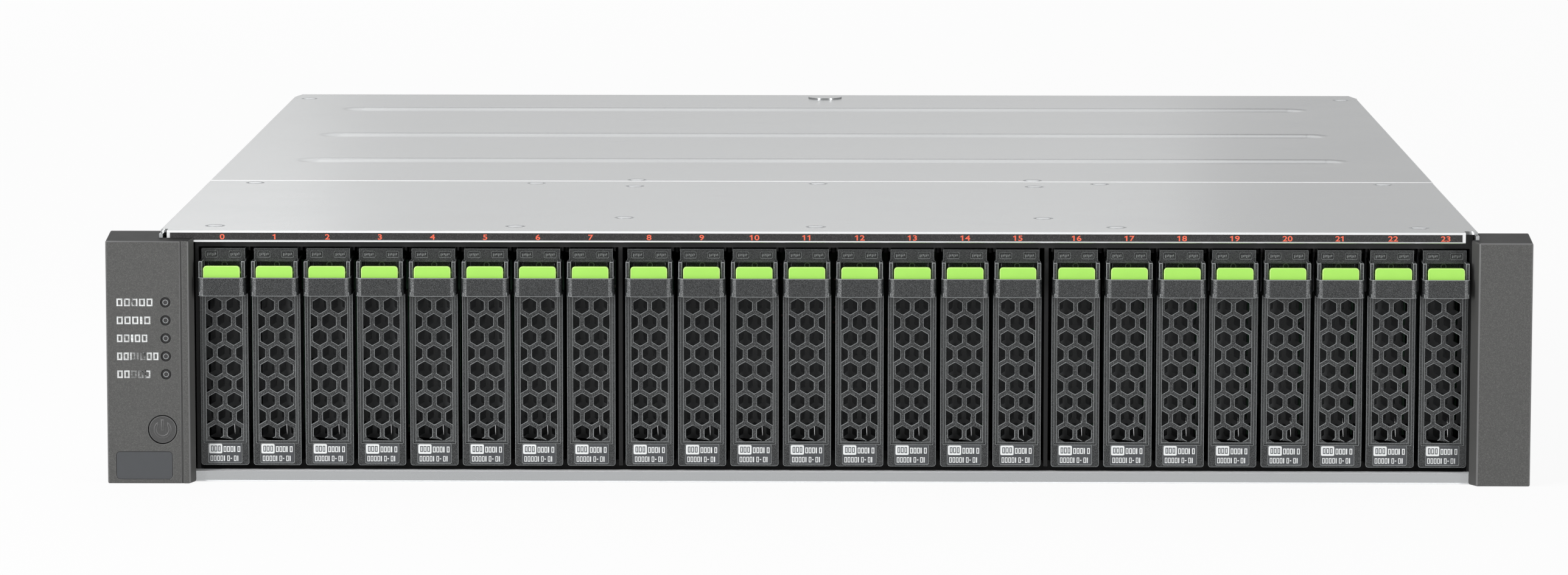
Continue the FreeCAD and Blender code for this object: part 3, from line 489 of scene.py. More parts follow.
def rebevel(piece, width, key=None, clamp=True):
    # rounds a cut piece's edges, in a finish of their own where key names one
    if key:
        piece.data.materials.append(finishes[key])
    number = len(piece.data.materials) - 1 if key else -1
    return settle(piece, bevel(width, number=number, clamp=clamp))


def joined(name, pieces, *changes):
    # several pieces as one, with one list of finishes
    shape, used = bmesh.new(), []
    for piece in pieces:
        numbers = []
        for finish in piece.data.materials:
            if finish not in used:
                used.append(finish)
            numbers.append(used.index(finish))
        first = len(shape.faces)
        shape.from_mesh(piece.data)
        shape.faces.ensure_lookup_table()
        for face in shape.faces[first:]:
            face.material_index = numbers[face.material_index] if numbers else 0
        discard(piece)
    mesh = closed(shape, bpy.data.meshes.new(name))
    for finish in used:
        mesh.materials.append(finish)
    return finished(addObject(name, mesh), *changes)


def stamp(template, name, shift):
    # a copy of a finished template, moved within its mesh
    mesh = template.data.copy()
    mesh.transform(Matrix.Translation(shift))
    mesh.name = name
    return addObject(name, mesh)


def discard(piece):
    mesh = piece.data
    bpy.data.objects.remove(piece)
    bpy.data.meshes.remove(mesh)


def fit(piece, body, slot, *nodes):
    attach(piece, body)
    if nodes:
        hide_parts(*nodes)


merge = {
    "cad": 0.002, "plate": 0.02, "glyph": 0.001, "flat": math.radians(0.4), "plateFlat": 0.02,
    "fold": math.radians(25),
}


def islands(shape):
    # the shape's separate solids, each as a set of vertices
    unseen = set(shape.verts)
    while unseen:
        island, rim = set(), {unseen.pop()}
        while rim:
            island |= rim
            rim = {edge.other_vert(vert) for vert in rim for edge in vert.link_edges} - island
        unseen -= island
        yield island


def frontOf(node):
    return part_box(node)[0].y / mm


def reach(verts):
    # the low and the high corner of some vertices
    return [[pick(vert.co[k] for vert in verts) / mm for k in range(3)] for pick in (min, max)]


def cadCopy(node, sort):
    # a merged copy of a CAD node, solid by solid: sort says each solid's finish number, or None to leave it out
    shape, dropped = opened(frame["nodes"][node].data, merge["cad"]), []
    for solid in islands(shape):
        number = sort(*reach(solid))
        if number is None:
            dropped += list(solid)
            continue
        for face in {face for vert in solid for face in vert.link_faces}:
            face.material_index = number
    bmesh.ops.delete(shape, geom=dropped, context="VERTS")
    bmesh.ops.dissolve_limit(shape, angle_limit=merge["flat"], verts=shape.verts, edges=shape.edges,
                             delimit={"MATERIAL"})
    return shape


def weigh(shape, choose):
    # choose gives each sharp edge its share of the bevel's width, from its two ends in millimetres
    name = "bevel_weight_edge"
    layer = shape.edges.layers.float.get(name) or shape.edges.layers.float.new(name)
    for edge in shape.edges:
        if len(edge.link_faces) == 2 and edge.calc_face_angle(0.0) > merge["fold"]:
            edge[layer] = choose(edge.verts[0].co / mm, edge.verts[1].co / mm)


# Geometry Nodes

def newTree(name, inputs):
    # inputs are name: kind, each a named number of the tree
    tree = bpy.data.node_groups.new(name, "GeometryNodeTree")
    for key, kind in {"Geometry": "Geometry", **inputs, "Finish": "Material"}.items():
        tree.interface.new_socket(key, in_out="INPUT", socket_type="NodeSocket" + kind)
    tree.interface.new_socket("Geometry", in_out="OUTPUT", socket_type="NodeSocketGeometry")
    nodes = Nodes(tree)
    source = tree.nodes.new("NodeGroupInput")
    given = {socket.name: Wire(nodes, socket) for socket in source.outputs if socket.name}
    return tree, nodes, given


def closeTree(tree, nodes, geometry, material):
    whole = nodes.add("GeometryNodeRealizeInstances", {}, {"Geometry": geometry})
    painted = nodes.add("GeometryNodeSetMaterial", {}, {"Geometry": whole, "Material": material})
    sink = tree.nodes.new("NodeGroupOutput")
    tree.links.new(painted.socket, sink.inputs["Geometry"])
    return tree


def grow(name, tree, values, key, points=(), changes=()):
    # runs a tree on loose points, given in metres, and leaves a plain mesh
    mesh = bpy.data.meshes.new(name)
    mesh.from_pydata([tuple(point) for point in points], [], [])
    piece = addObject(name, mesh)
    modifier = piece.modifiers.new("grow", "NODES")
    modifier.node_group = tree
    values = {**values, "Finish": finishes[key]}
    for item in tree.interface.items_tree:
        if item.in_out == "INPUT" and item.name in values:
            modifier[item.identifier] = values[item.name]
    return finished(settle(piece, *changes))


def honeycombTree():
    # a plate cut by hexagons, in rows of two and of three that take turns
    sizes = ("Half Width", "Low", "High", "Front", "Back", "Pitch", "Across", "First Row", "Wide First")
    tree, nodes, given = newTree("honeycomb", {**{size: "Float" for size in sizes}, "Rows": "Int"})
    deep = given["Back"] - given["Front"]
    middle = (given["Back"] + given["Front"]) / 2.0
    rowPitch = given["Pitch"] * (math.sqrt(3) / 2)
    size = nodes.combine(X=given["Half Width"] * 2.0, Y=deep, Z=given["High"] - given["Low"])
    rise = nodes.combine(Y=middle, Z=(given["High"] + given["Low"]) / 2.0)
    cube = nodes.add("GeometryNodeMeshCube", {}, {"Size": size})
    panel = nodes.transform(cube, Translation=rise)
    rows = []
    for across, wide in ((2, 0.0), (3, 1.0)):      # two columns on the half pitch, three on the whole pitch
        skipped = 1.0 - (given["Wide First"] * (2 * wide - 1) + (1 - wide))
        count = nodes.add("ShaderNodeMath", {"operation": "FLOOR"}, {0: (given["Rows"] + 1.0 - skipped) / 2.0})
        grid = nodes.add("GeometryNodeMeshGrid", {}, {
            "Size X": given["Pitch"] * (across - 1.0), "Size Y": rowPitch * 2.0 * (count - 1.0),
            "Vertices X": across, "Vertices Y": count})
        place = nodes.combine(Y=middle, Z=given["First Row"] + rowPitch * (skipped + count - 1.0))
        rows.append(nodes.transform(grid, Translation=place, Rotation=(math.pi / 2, 0.0, 0.0)))
    drum = nodes.add("GeometryNodeMeshCylinder", {}, {
        "Vertices": 6, "Radius": given["Across"] / math.sqrt(3), "Depth": deep * 3.0})
    pointed = nodes.transform(drum, Rotation=(0.0, 0.0, math.pi / 6))
    facing = nodes.transform(pointed, Rotation=(math.pi / 2, 0.0, 0.0))
    cutters = nodes.add("GeometryNodeInstanceOnPoints", {}, {"Points": nodes.together(*rows), "Instance": facing})
    cutters = nodes.add("GeometryNodeRealizeInstances", {}, {"Geometry": cutters})
    return closeTree(tree, nodes, nodes.without(panel, cutters), given["Finish"])


screw = {"sides": 24, "dome": (0.8, 1.5), "arms": (1.3, 0.28), "recess": 0.9}      # shares of the tree's own sizes


def screwTree():
    # pan-head screws with a cross recess, one on each given point, their heads turned a little at random
    tree, nodes, given = newTree("screws", {"Head": "Float", "Height": "Float", "Slot": "Float", "Seed": "Int"})
    head, dome = (nodes.add("GeometryNodeMeshCylinder", {}, {
        "Vertices": screw["sides"], "Radius": given["Head"] * wide, "Depth": given["Height"] * high})
        for wide, high in ((1.0, 1.0), screw["dome"]))
    arms = []
    for long, wide in (screw["arms"], screw["arms"][::-1]):
        size = nodes.combine(X=given["Slot"] * long, Y=given["Slot"] * wide, Z=given["Height"])
        bar = nodes.add("GeometryNodeMeshCube", {}, {"Size": size})
        arms.append(nodes.transform(bar, Translation=nodes.combine(Z=given["Height"] * screw["recess"])))
    whole = nodes.together(head, nodes.without(dome, nodes.together(*arms)))
    spin = nodes.add("FunctionNodeRandomValue", {"data_type": "FLOAT"}, {2: 0.0, 3: math.pi, "Seed": given["Seed"]},
                     out=1)
    turn = nodes.add("FunctionNodeEulerToRotation", {}, {0: nodes.combine(Z=spin)})
    placed = nodes.add("GeometryNodeInstanceOnPoints", {}, {
        "Points": given["Geometry"], "Instance": whole, "Rotation": turn})
    return closeTree(tree, nodes, placed, given["Finish"])


# Levers. The carrier's middle is x 0, its front plane y 0 and its underside z 0.
# A box is its x, y and z. Twins are written for the right side.

comb = {"pitch": 6.29, "across": 4.74, "firstRow": 11.16, "rows": 9}
lever = {
    "door": {"half": 6.37, "high": (8.15, 59.85), "deep": (0.7, 2.4)},
    "rimTwins": ((6.25, 6.95), (0.6, 2.4), (7.85, 59.85)),
    "foot": ((-6.45, 6.45), (0.6, 2.4), (7.85, 8.42)),
    "band": {"half": 8.05, "front": -8.0, "back": -0.3, "high": (58.85, 65.2), "wall": 0.9, "corner": 2.4},
    "shine": (0.1, 0.64),      # how far to the side the band's corners face that take a paler, smoother finish: a painted highlight where the side lamps shine
    "floor": ((-7.51, 7.51), (-7.37, -0.3), (59.05, 60.35)),
    "shelf": ((-6.95, 6.95), (-0.8, 2.4), (58.95, 60.35)),
    "armTwins": ((6.55, 7.85), (-6.0, -0.3), (59.35, 70.6)),
    "tab": {"wide": (-6.2, 6.2), "high": (60.55, 69.05), "deep": (-6.9, -5.2), "corners": (0, 0, 1.1, 1.1)},
    "catch": ((-6.2, 6.2), (-5.3, 4.3), (60.55, 66.25)),
    "rounds": {"holes": 0.16, "rims": 0.13, "band": 0.2, "arms": 0.22, "catch": 0.3},
}


def honeycomb(name, tree, key, half, high, deep, wideFirst=False):
    sizes = {"Half Width": half, "Low": high[0], "High": high[1], "Front": deep[0], "Back": deep[1],
             "Pitch": comb["pitch"], "Across": comb["across"], "First Row": comb["firstRow"]}
    values = {size: value * mm for size, value in sizes.items()}
    panel = grow(name, tree, {**values, "Rows": comb["rows"], "Wide First": float(wideFirst)}, key)
    shape = opened(panel.data, merge["plate"])
    bmesh.ops.dissolve_limit(shape, angle_limit=merge["plateFlat"], verts=shape.verts, edges=shape.edges)
    closed(shape, panel.data)
    return panel


def leverTemplate(tree):
    rounds, paint = lever["rounds"], "lever edge"
    # the rounded edges of the door, rims, band and arms take the paler edge finish: a painted highlight
    door = rebevel(honeycomb("door", tree, "lever", **lever["door"]), rounds["holes"], "edge", False)
    rims = boxPiece("rims", twins(*lever["rimTwins"]) + [lever["foot"]], paint, bevel(rounds["rims"], number=1))
    half, front, back, high, wall, corner = lever["band"].values()
    outline = [(-half, back), (-half, front), (half, front), (half, back), (half - wall, back),
               (half - wall, front + wall), (-half + wall, front + wall), (-half + wall, back)]
    radii = (0, corner, corner, 0, 0, corner - wall, corner - wall, 0)
    band = prismPiece("band", rounded(outline, radii, 8), high, paint + " shine", bevel(rounds["band"], 3, 40, 1),
                      lie="XY")
    least, most = lever["shine"]
    # the band's corner faces that turn towards the side lamps take the paler finish: a painted highlight
    repaint(band, lambda face, x, y, z: 2 if face.material_index == 0 and face.normal.y < 0
            and least < abs(face.normal.x) < most else None)
    arms = boxPiece("arms", [lever["floor"], lever["shelf"]] + twins(*lever["armTwins"]), paint,
                    bevel(rounds["arms"], 3, number=1))
    # the tab's rounded edges take the paler lime: a painted highlight
    tab = platePiece("tab", lever["tab"], "lime limeEdge", bevel(rounds["arms"], 3, number=1), steps=5)
    catch = boxPiece("catch", [lever["catch"]], "lime", bevel(rounds["catch"]))
    return joined("leverTemplate", [door, rims, band, arms, tab, catch], flatter)


# Carriers

carrier = {
    "base": {"wide": (-8.15, 8.15), "high": (0.0, 7.65), "deep": (0.0, 13.0), "corners": (0.9, 0.9, 0, 0)},
    "recess": {"wide": (-5.67, 5.67), "high": (0.73, 7.42), "deep": (-1.0, 0.25), "corners": 0.4},
    "postTwins": (((7.1, 8.15), (0.0, 13.0), (7.35, 58.85)), ((6.6, 7.5), (1.0, 13.0), (58.0, 70.65))),
    "bar": ((-7.7, 7.7), (0.25, 13.0), (69.9, 70.5)),
    "head": ((-7.35, 7.35), (0.0, 13.0), (70.35, 74.35)),
    "wall": ((-6.6, 6.6), (4.5, 6.0), (57.35, 70.55)),
    "wallTwins": ((5.3, 5.6), (2.6, 6.0), (57.35, 70.55)),
    "boss": {"middle": 68.4, "radii": (0.7, 1.05), "depth": (4.1, 4.55)},
    "screen": {"half": 7.1, "high": (7.45, 58.75), "deep": (9.0, 9.6)},
    "rails": (((-8.15, 8.15), (12.8, 119.45), (0.0, 2.25)), ((-8.15, 8.15), (12.8, 119.45), (72.1, 74.35))),
    "spring": ((2.2, 16.0), (2.42, 16.0), (2.72, 9.3), (2.5, 9.3)), "springDeep": (8.3, 8.6),
    "rounds": {"recess": 0.12, "posts": 0.13, "lenses": 0.07, "marks": 0.06, "wall": 0.15, "rails": 0.3,
               "spring": 0.05},
}
window = {
    "x": 4.0, "z": 72.35, "half": (1.975, 1.025),
    "cut": {"growth": 0.02, "depth": (-1.0, 0.45), "corner": 0.3},
    "lens": {"growth": -0.2, "depth": (0.05, 1.0), "corner": 0.25},
}
tick = {"count": 6, "pitch": 0.54, "half": 0.16, "rise": 0.5, "shorter": 0.16, "sway": 0.14, "deep": (0.0, 0.2)}


def platePiece(name, sizes, paint, *changes, steps=3):
    outline = plate(sizes["wide"], sizes["high"], sizes["corners"], steps)
    return prismPiece(name, outline, sizes["deep"], paint, *changes)


def windowShape(growth, depth, corner):
    # the two windows of a carrier's head, as one shape
    shape = bmesh.new()
    wide, high = (half + growth for half in window["half"])
    for x in (-window["x"], window["x"]):
        addPrism(shape, plate((x - wide, x + wide), (window["z"] - high, window["z"] + high), corner), depth)
    return shape


def windowTicks():
    # the raised marks on each window
    boxes = []
    for side in bothWays:
        for k in range(tick["count"]):
            x = side * window["x"] + (k - (tick["count"] - 1) / 2) * tick["pitch"]
            rise, z = tick["rise"] - tick["shorter"] * (k * k % 3), window["z"] + tick["sway"] * (k % 3 - 1)
            boxes.append(((x - tick["half"], x + tick["half"]), tick["deep"], (z - rise, z + rise)))
    return boxes


def ringShape(middle, radii, depth, sides=20):
    # a raised ring standing on a wall: its face at depth[0], its root at depth[1]
    shape = bmesh.new()
    angles = [2 * math.pi * k / sides for k in range(sides)]
    innerFace, innerRoot, outerFace, outerRoot = (
        [shape.verts.new(Vector((radius * math.cos(angle), level, middle + radius * math.sin(angle))) * mm)
         for angle in angles] for radius in radii for level in depth)
    for ring, other in ((innerFace, outerFace), (outerFace, outerRoot), (innerRoot, innerFace)):
        addWall(shape, ring, other)
    return shape


def carrierPieces(tree):
    # the rounded edges take the paler edge finish: a painted highlight
    rounds, paint = carrier["rounds"], "carrier edge"
    base = cutBy(platePiece("base", carrier["base"], "carrier", steps=4), platePiece("cut", carrier["recess"], ""))
    head = cutBy(boxPiece("head", [carrier["head"]], "carrier"), newPiece("cut", windowShape(**window["cut"]), ""))
    uprights = [box for pair in carrier["postTwins"] for box in twins(*pair)]
    return [
        rebevel(base, rounds["recess"], "edge"),
        boxPiece("posts", uprights + [carrier["bar"]], paint, bevel(rounds["posts"], number=1)),
        rebevel(head, rounds["posts"], "edge"),
        newPiece("lenses", windowShape(**window["lens"]), "carrier", bevel(rounds["lenses"], 1)),
        boxPiece("ticks", windowTicks(), "mark", bevel(rounds["marks"], 1)),
        boxPiece("wall", [carrier["wall"]] + twins(*carrier["wallTwins"]), "carrier", bevel(rounds["wall"])),
        # the catch boss is painted wholly in the paler edge finish: a painted highlight
        newPiece("boss", ringShape(**carrier["boss"]), "edge"),
        honeycomb("screen", tree, "screen", **carrier["screen"], wideFirst=True),
        boxPiece("rails", carrier["rails"], "carrier", bevel(rounds["rails"])),
        prismPiece("spring", carrier["spring"], carrier["springDeep"], "glint", bevel(rounds["spring"], 1))]


label = {
    "plate": {"wide": (-5.55, 5.55), "high": (0.85, 7.3), "deep": (0.06, 0.3), "corners": 0.35}, "round": 0.05,
    "field": {"wide": (-5.49, -1.0), "high": (3.97, 7.25), "deep": (0.03, 0.1), "corners": 0.42},
    "darkRow": {"starts": (-4.85, -3.72, -2.45), "widths": (0.9, 1.0, 0.9), "y": (0.015, 0.04),
                "z": (4.6, 6.65), "stroke": 0.28},
    "y": (0.035, 0.07), "dash": 0.5, "dashZ": (2.1, 2.4), "barWide": 1.6,
    "rows": ({"marks": "oooio", "start": -0.55, "pitch": 1.18, "wide": 0.95, "z": (4.45, 6.45), "stroke": 0.27},
             {"marks": "ooooio-oi", "start": -5.05, "pitch": 1.14, "wide": 0.86, "z": (1.35, 3.2),
              "stroke": 0.22}),
}


def markBoxes(x, y, z, stroke, hollow):
    # a plain bar or a hollow block, which stands for one letter of print
    if not hollow:
        return [((x[0], min(x[1], x[0] + stroke * label["barWide"])), y, z)]
    middle = (x[0] + stroke, x[1] - stroke)
    return [((x[0], x[0] + stroke), y, z), ((x[1] - stroke, x[1]), y, z),
            (middle, y, (z[0], z[0] + stroke)), (middle, y, (z[1] - stroke, z[1]))]


def labelPieces():
    # a slate plate with a pale field and rows of plain marks that stand for print
    row = label["darkRow"]
    dark = [box for x, wide in zip(row["starts"], row["widths"])
            for box in markBoxes((x, x + wide), row["y"], row["z"], row["stroke"], True)]
    light = []
    for row in label["rows"]:
        for k, mark in enumerate(row["marks"]):
            x = row["start"] + k * row["pitch"]
            if mark == "-":
                light.append(((x, x + label["dash"]), label["y"], label["dashZ"]))
            else:
                light += markBoxes((x, x + row["wide"]), label["y"], row["z"], row["stroke"], mark == "o")
    return [platePiece("plate", label["plate"], "slate", bevel(label["round"], 1)),
            platePiece("field", label["field"], "white"), boxPiece("darkMarks", dark, "dark"),
            boxPiece("lightMarks", light, "white")]


disk = {
    "body": ((-7.4, 6.2), (24.0, 124.45), (2.25, 72.1)), "socket": ((-3.6, 3.6), (119.45, 125.95), (15.6, 58.8)),
    "bodyRound": 0.5, "lid": {"y": (30.0, 118.0), "z": (8.0, 67.0), "corners": (9.0, 4.0, 4.0, 9.0)},
    "lidX": (-7.5, -7.0), "lidRound": 0.15, "paper": ((-7.56, -7.4), (50.0, 104.0), (20.0, 56.0)),
    "board": ((6.1, 7.4), (28.8, 119.45), (7.05, 67.3)), "boardRound": 0.1,
}


def diskPieces():
    # the drive itself, with a raised lid on one side and its board on the other
    body = cutBy(boxPiece("diskBody", [disk["body"]], "casting"), boxPiece("cut", [disk["socket"]], ""))
    shape = bmesh.new()
    lid = plate(disk["lid"]["y"], disk["lid"]["z"], disk["lid"]["corners"], 6)
    face, root = ([shape.verts.new(Vector((x, *point)) * mm) for point in lid] for x in disk["lidX"])
    shape.faces.new(face)
    addWall(shape, face, root)
    return [rebevel(body, disk["bodyRound"]), newPiece("diskLid", shape, "diskLid", bevel(disk["lidRound"])),
            boxPiece("diskPaper", [disk["paper"]], "paper"),
            boxPiece("diskBoard", [disk["board"]], "board", bevel(disk["boardRound"], 1))]


def slotPlace(slot):
    # the point that a carrier's own zero takes
    low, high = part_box(f"drive_{slot}")
    return Vector(((low.x + high.x) / 2, low.y, low.z))


def dressDrives():
    tree = honeycombTree()
    leverShape = leverTemplate(tree)
    drive = joined("driveTemplate", carrierPieces(tree) + labelPieces() + diskPieces(), flatter)
    for slot in slots:
        shift = slotPlace(slot)
        fit(stamp(drive, f"carrier{slot}", shift), f"drive_{slot}", "carrier_plastic", f"drive_{slot}")
        fit(stamp(leverShape, f"lever{slot}", shift), f"lever_{slot}", "lever_plastic", f"lever_{slot}")
    discard(drive)
    discard(leverShape)
    print("drives dressed")


# Covers. The shares are parts of the round's width.

same = 0.01      # two places nearer than this are one
cover = {
    "round": 1.0, "screwAcross": 8, "stripDeep": 1, "long": 300, "side": 223.5, "sideSlack": 0.1,
    "frontDeep": 1.3, "lipTall": 3.5, "topDeep": 160, "foldShare": 0.55, "rearShare": 0.5, "seamDeep": 1.0,
    "frontFacing": -0.2, "seamFacing": -0.1,
}
coverScrew = {"head": 2.5, "height": 0.5, "slot": 1.5, "sink": 0.15, "round": 0.12, "seed": 3}


def onSide(point):
    return abs(abs(point.x) - cover["side"]) < cover["sideSlack"]


def dressCovers():
    front, top = frontOf("front_cover"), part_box("front_cover")[1].z / mm
    heads = []

    def sort(low, high):
        if high[0] - low[0] < cover["screwAcross"]:
            heads.append(((low[1] + high[1]) / 2, (low[0] + high[0]) / 2, high[2] - coverScrew["sink"]))
            return None
        return 1 if high[1] - low[1] < cover["stripDeep"] else 0

    def frontEdges(a, b):
        along, onTop = abs(a.x - b.x), abs(a.z - top) < same
        if along > cover["long"] and min(a.y, b.y) < front + cover["frontDeep"]:
            return cover["foldShare"] if onTop or a.z < top - cover["lipTall"] else 0.0
        if along > cover["long"] and onTop and a.y > front + cover["topDeep"]:
            return 1.0
        return cover["foldShare"] if along < same and onSide(a) and onTop else 0.0

    piece = cadPiece("coverFront", cadCopy("front_cover", sort), frontEdges, "zinc strip fold", cover["round"])
    # the front-facing faces of the fold take the paler zinc: a painted highlight
    repaint(piece, lambda face, x, y, z: 2 if face.material_index == 0 and y < front + cover["frontDeep"]
            and face.normal.y < cover["frontFacing"] else None)
    fit(piece, "chassis", "zinc_steel", "front_cover")
    shape = cadCopy("rear_cover", sort)
    seam = min(vert.co.y for vert in shape.verts) / mm

    def rearEdges(a, b):
        if abs(a.z - top) > same or abs(b.z - top) > same:
            return 0.0
        if max(a.y, b.y) < seam + cover["sideSlack"]:
            return 1.0
        return cover["rearShare"] if onSide(a) and onSide(b) else 0.0

    piece = cadPiece("coverRear", shape, rearEdges, "zincRear fold", cover["round"])
    # the seam's forward faces take the paler zinc: a painted highlight
    repaint(piece, lambda face, x, y, z: 1 if y < seam + cover["seamDeep"]
            and face.normal.y < cover["seamFacing"] else None)
    fit(piece, "chassis", "zinc_steel", "rear_cover")
    sizes = {key.title(): coverScrew[key] * mm for key in ("head", "height", "slot")}
    points = [Vector((x, y, z)) * mm for y, x, z in sorted(heads)]
    piece = grow("coverScrews", screwTree(), {**sizes, "Seed": coverScrew["seed"]}, "coverScrew", points,
                 [bevel(coverScrew["round"])])
    fit(piece, "chassis", "zinc_steel")
    print("covers dressed,", len(heads), "screws")


numeral = {"size": 2.5, "bold": 0.018, "wide": 1.38, "drop": 2.2, "thick": 0.01, "proud": 0.06, "curve": 5}
flag = {"narrow": 0.45, "root": 0.5, "reach": 0.2, "depth": (-0.008, 0.008), "drops": (0.0, 0.16, 0.36, 0.22)}


def addFlags(mesh):
    # the font's 1 is a plain bar, so its top left corner gets a flag
    shape = opened(mesh, merge["glyph"])
    for (left, low, _), (right, high, _) in sorted(reach(glyph) for glyph in islands(shape)):
        wide, tall = right - left, high - low
        if wide < flag["narrow"] * tall:
            root, tip = left + wide * flag["root"], left - tall * flag["reach"]
            outline = [(x, high - tall * drop) for x, drop in zip((root, tip, tip, root), flag["drops"])]
            addPrism(shape, outline, flag["depth"], "XY")
    closed(shape, mesh)


def setNumerals():
    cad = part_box("front_cover")
    front, top = cad[0].y, cad[1].z
    parts = []
    for slot in slots:
        curve = bpy.data.curves.new("numeral", "FONT")
        curve.body, curve.size, curve.resolution_u = str(int(slot)), numeral["size"] * mm, numeral["curve"]
        curve.align_x, curve.align_y = "CENTER", "CENTER"
        curve.offset, curve.extrude = numeral["bold"] * numeral["size"] * mm, numeral["thick"] * mm
        holder = addObject("numeral", curve)
        mesh = bpy.data.meshes.new_from_object(holder.evaluated_get(bpy.context.evaluated_depsgraph_get()))
        bpy.data.objects.remove(holder)
        addFlags(mesh)
        place = Vector((slotPlace(slot).x, front + numeral["proud"] * mm, top - numeral["drop"] * mm))
        mesh.transform(Matrix.Translation(place) @ Matrix.Rotation(math.pi / 2, 4, "X")
                       @ Matrix.Diagonal((numeral["wide"], 1.0, 1.0, 1.0)))
        mesh.materials.clear()
        mesh.materials.append(finishes["coral"])
        parts.append(addObject("numeral", mesh))
    fit(joined("slotNumerals", parts), "chassis", "zinc_steel")
    print("numerals set")


# Ears. The shares are parts of the round's width.

lamps = {
    "x": -221.11, "z": (62.0, 55.86, 49.72, 43.58, 37.44), "hole": 1.95, "ring": (0.72, 0.94),
    "ringDeep": (0.02, 0.3),
}
words = {
    "start": -237.65, "half": 1.3, "stroke": 0.5, "gap": 0.28, "bar": 0.42, "deep": 0.3,
    "rows": (("ooooo", 12.2), ("oooio", 11.4), ("ooioo", 10.3), ("oooiooo", 14.0), ("ooooo", 11.2)),
}
ear = {
    "round": 0.55, "shellTall": 75, "lensSize": 3, "plateWide": 15, "plateTall": 12, "boardTall": 30,
    "panelOut": 239, "panelTop": 70, "panelLong": 20, "panelShare": 0.35, "short": 4, "capDeep": 5.2,
    "capTop": 83, "capShare": 0.4, "grooveX": -215.71, "grooveSlack": 0.5, "grooveShare": 0.2, "wallDeep": 2.0,
    "frontDeep": 1.0, "holeDeep": 0.05, "slope": (-0.93, -0.3), "flat": -0.9, "side": 0.5, "upright": 0.05,
}
button = {"x": -222.51, "z": 18.5, "signRadius": 4, "deep": 0.5, "round": 0.22, "signShare": 0.5}


def earPart(low, high):
    # the shell, the lamps' lenses, the nameplate, the board behind them and its connector
    wide, tall = high[0] - low[0], high[2] - low[2]
    if tall > ear["shellTall"]:
        return 0
    if wide < ear["lensSize"] and tall < ear["lensSize"]:
        return 3
    if wide > ear["plateWide"] and tall < ear["plateTall"]:
        return 2
    return 4 if tall > ear["boardTall"] else 5


def dressEar(node, name):
    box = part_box(node)
    front, onLeft = box[0].y / mm, node == "left_ear"
    outerX = (box[0] if onLeft else box[1]).x / mm
    wall = front + ear["wallDeep"]

    def edges(a, b):
        long, behind = (a - b).length, max(a.y, b.y)
        onPanel = onLeft and behind < front + same and max(abs(a.x), abs(b.x)) < ear["panelOut"]
        if onPanel and max(a.z, b.z) < ear["panelTop"] and long < ear["panelLong"]:
            return ear["panelShare"]
        if long < ear["short"]:
            return 0.0
        if behind > front + ear["capDeep"] and abs(a.x - outerX) > same:
            return 0.0
        if min(a.z, b.z) > ear["capTop"] and behind > front + ear["capDeep"]:
            return ear["capShare"]
        if onLeft and abs(a.x - b.x) < ear["upright"] and abs(a.x - ear["grooveX"]) < ear["grooveSlack"]:
            return ear["grooveShare"]
        return 0.0 if abs(a.y - wall) < same or abs(b.y - wall) < same else 1.0

    def shellFinish(face, x, y, z):
        if face.material_index:
            return None
        near = min(math.hypot(x - lamps["x"], z - row) for row in lamps["z"])
        inFront = y < front + ear["frontDeep"]
        # faces inside the left ear's lamp holes are painted near black: painted shade in the recess
        if onLeft and near < lamps["hole"] and y > front + ear["holeDeep"]:
            return 6
        # sloped front faces, the rounded edges, take the paler finish: a painted highlight
        if inFront and ear["slope"][0] < face.normal.y < ear["slope"][1]:
            return 7
        if inFront and face.normal.y <= ear["flat"]:
            return None
        # sideways faces take the lighter copy of the smooth finish, painted light; the rest take the dark smooth
        # finish
        return 8 if abs(face.normal.x) > ear["side"] else 1

    paint = "ear earSmooth slate lens board connector ring earEdge earSide"
    piece = cadPiece(name, cadCopy(node, earPart), edges, paint, ear["round"])
    repaint(piece, shellFinish)
    fit(piece, "chassis", "ear_plastic", node)


def legendMarks():
    # beside each lamp, a row of plain white blocks in place of a word
    front = frontOf("left_ear")
    boxes = []
    for z, (row, length) in zip(lamps["z"], words["rows"]):
        shares = [1.0 if mark == "o" else words["bar"] for mark in row]
        unit = length / (sum(shares) + words["gap"] * (len(row) - 1))
        x = words["start"]
        for share in shares:
            boxes += markBoxes((x, x + share * unit), (front, front + words["deep"]),
                               (z - words["half"], z + words["half"]), words["stroke"], share == 1.0)
            x += (share + words["gap"]) * unit
    fit(boxPiece("legendMarks", boxes, "white"), "chassis", "ear_plastic")
    # a pale ring on each lamp's lens, in the paler edge finish: a painted highlight
    rings = []
    for z in lamps["z"]:
        ring = ringShape(z, lamps["ring"], [front + deep for deep in lamps["ringDeep"]])
        bmesh.ops.translate(ring, verts=ring.verts, vec=(lamps["x"] * mm, 0, 0))
        rings.append(newPiece("lensRing", ring, "edge"))
    fit(joined("lampRings", rings), "chassis", "ear_plastic")


def dressButton():
    front = frontOf("power_button")

    def edges(a, b):
        if abs(a.y - b.y) > same or a.y > front + button["deep"]:
            return 0.0
        return 1.0 if math.hypot(a.x - button["x"], a.z - button["z"]) > button["signRadius"] else button["signShare"]

    shape = cadCopy("power_button", lambda low, high: 0)
    # the rounded edges of the sign and of its hole take the paler finish: a painted highlight
    piece = cadPiece("powerButton", shape, edges, "button earEdge", button["round"], 2, 1)
    fit(piece, "power_button", "button_plastic", "power_button")


# Chassis

tray = {"round": 0.5, "long": 300, "sillDeep": 7, "sillTall": 6}


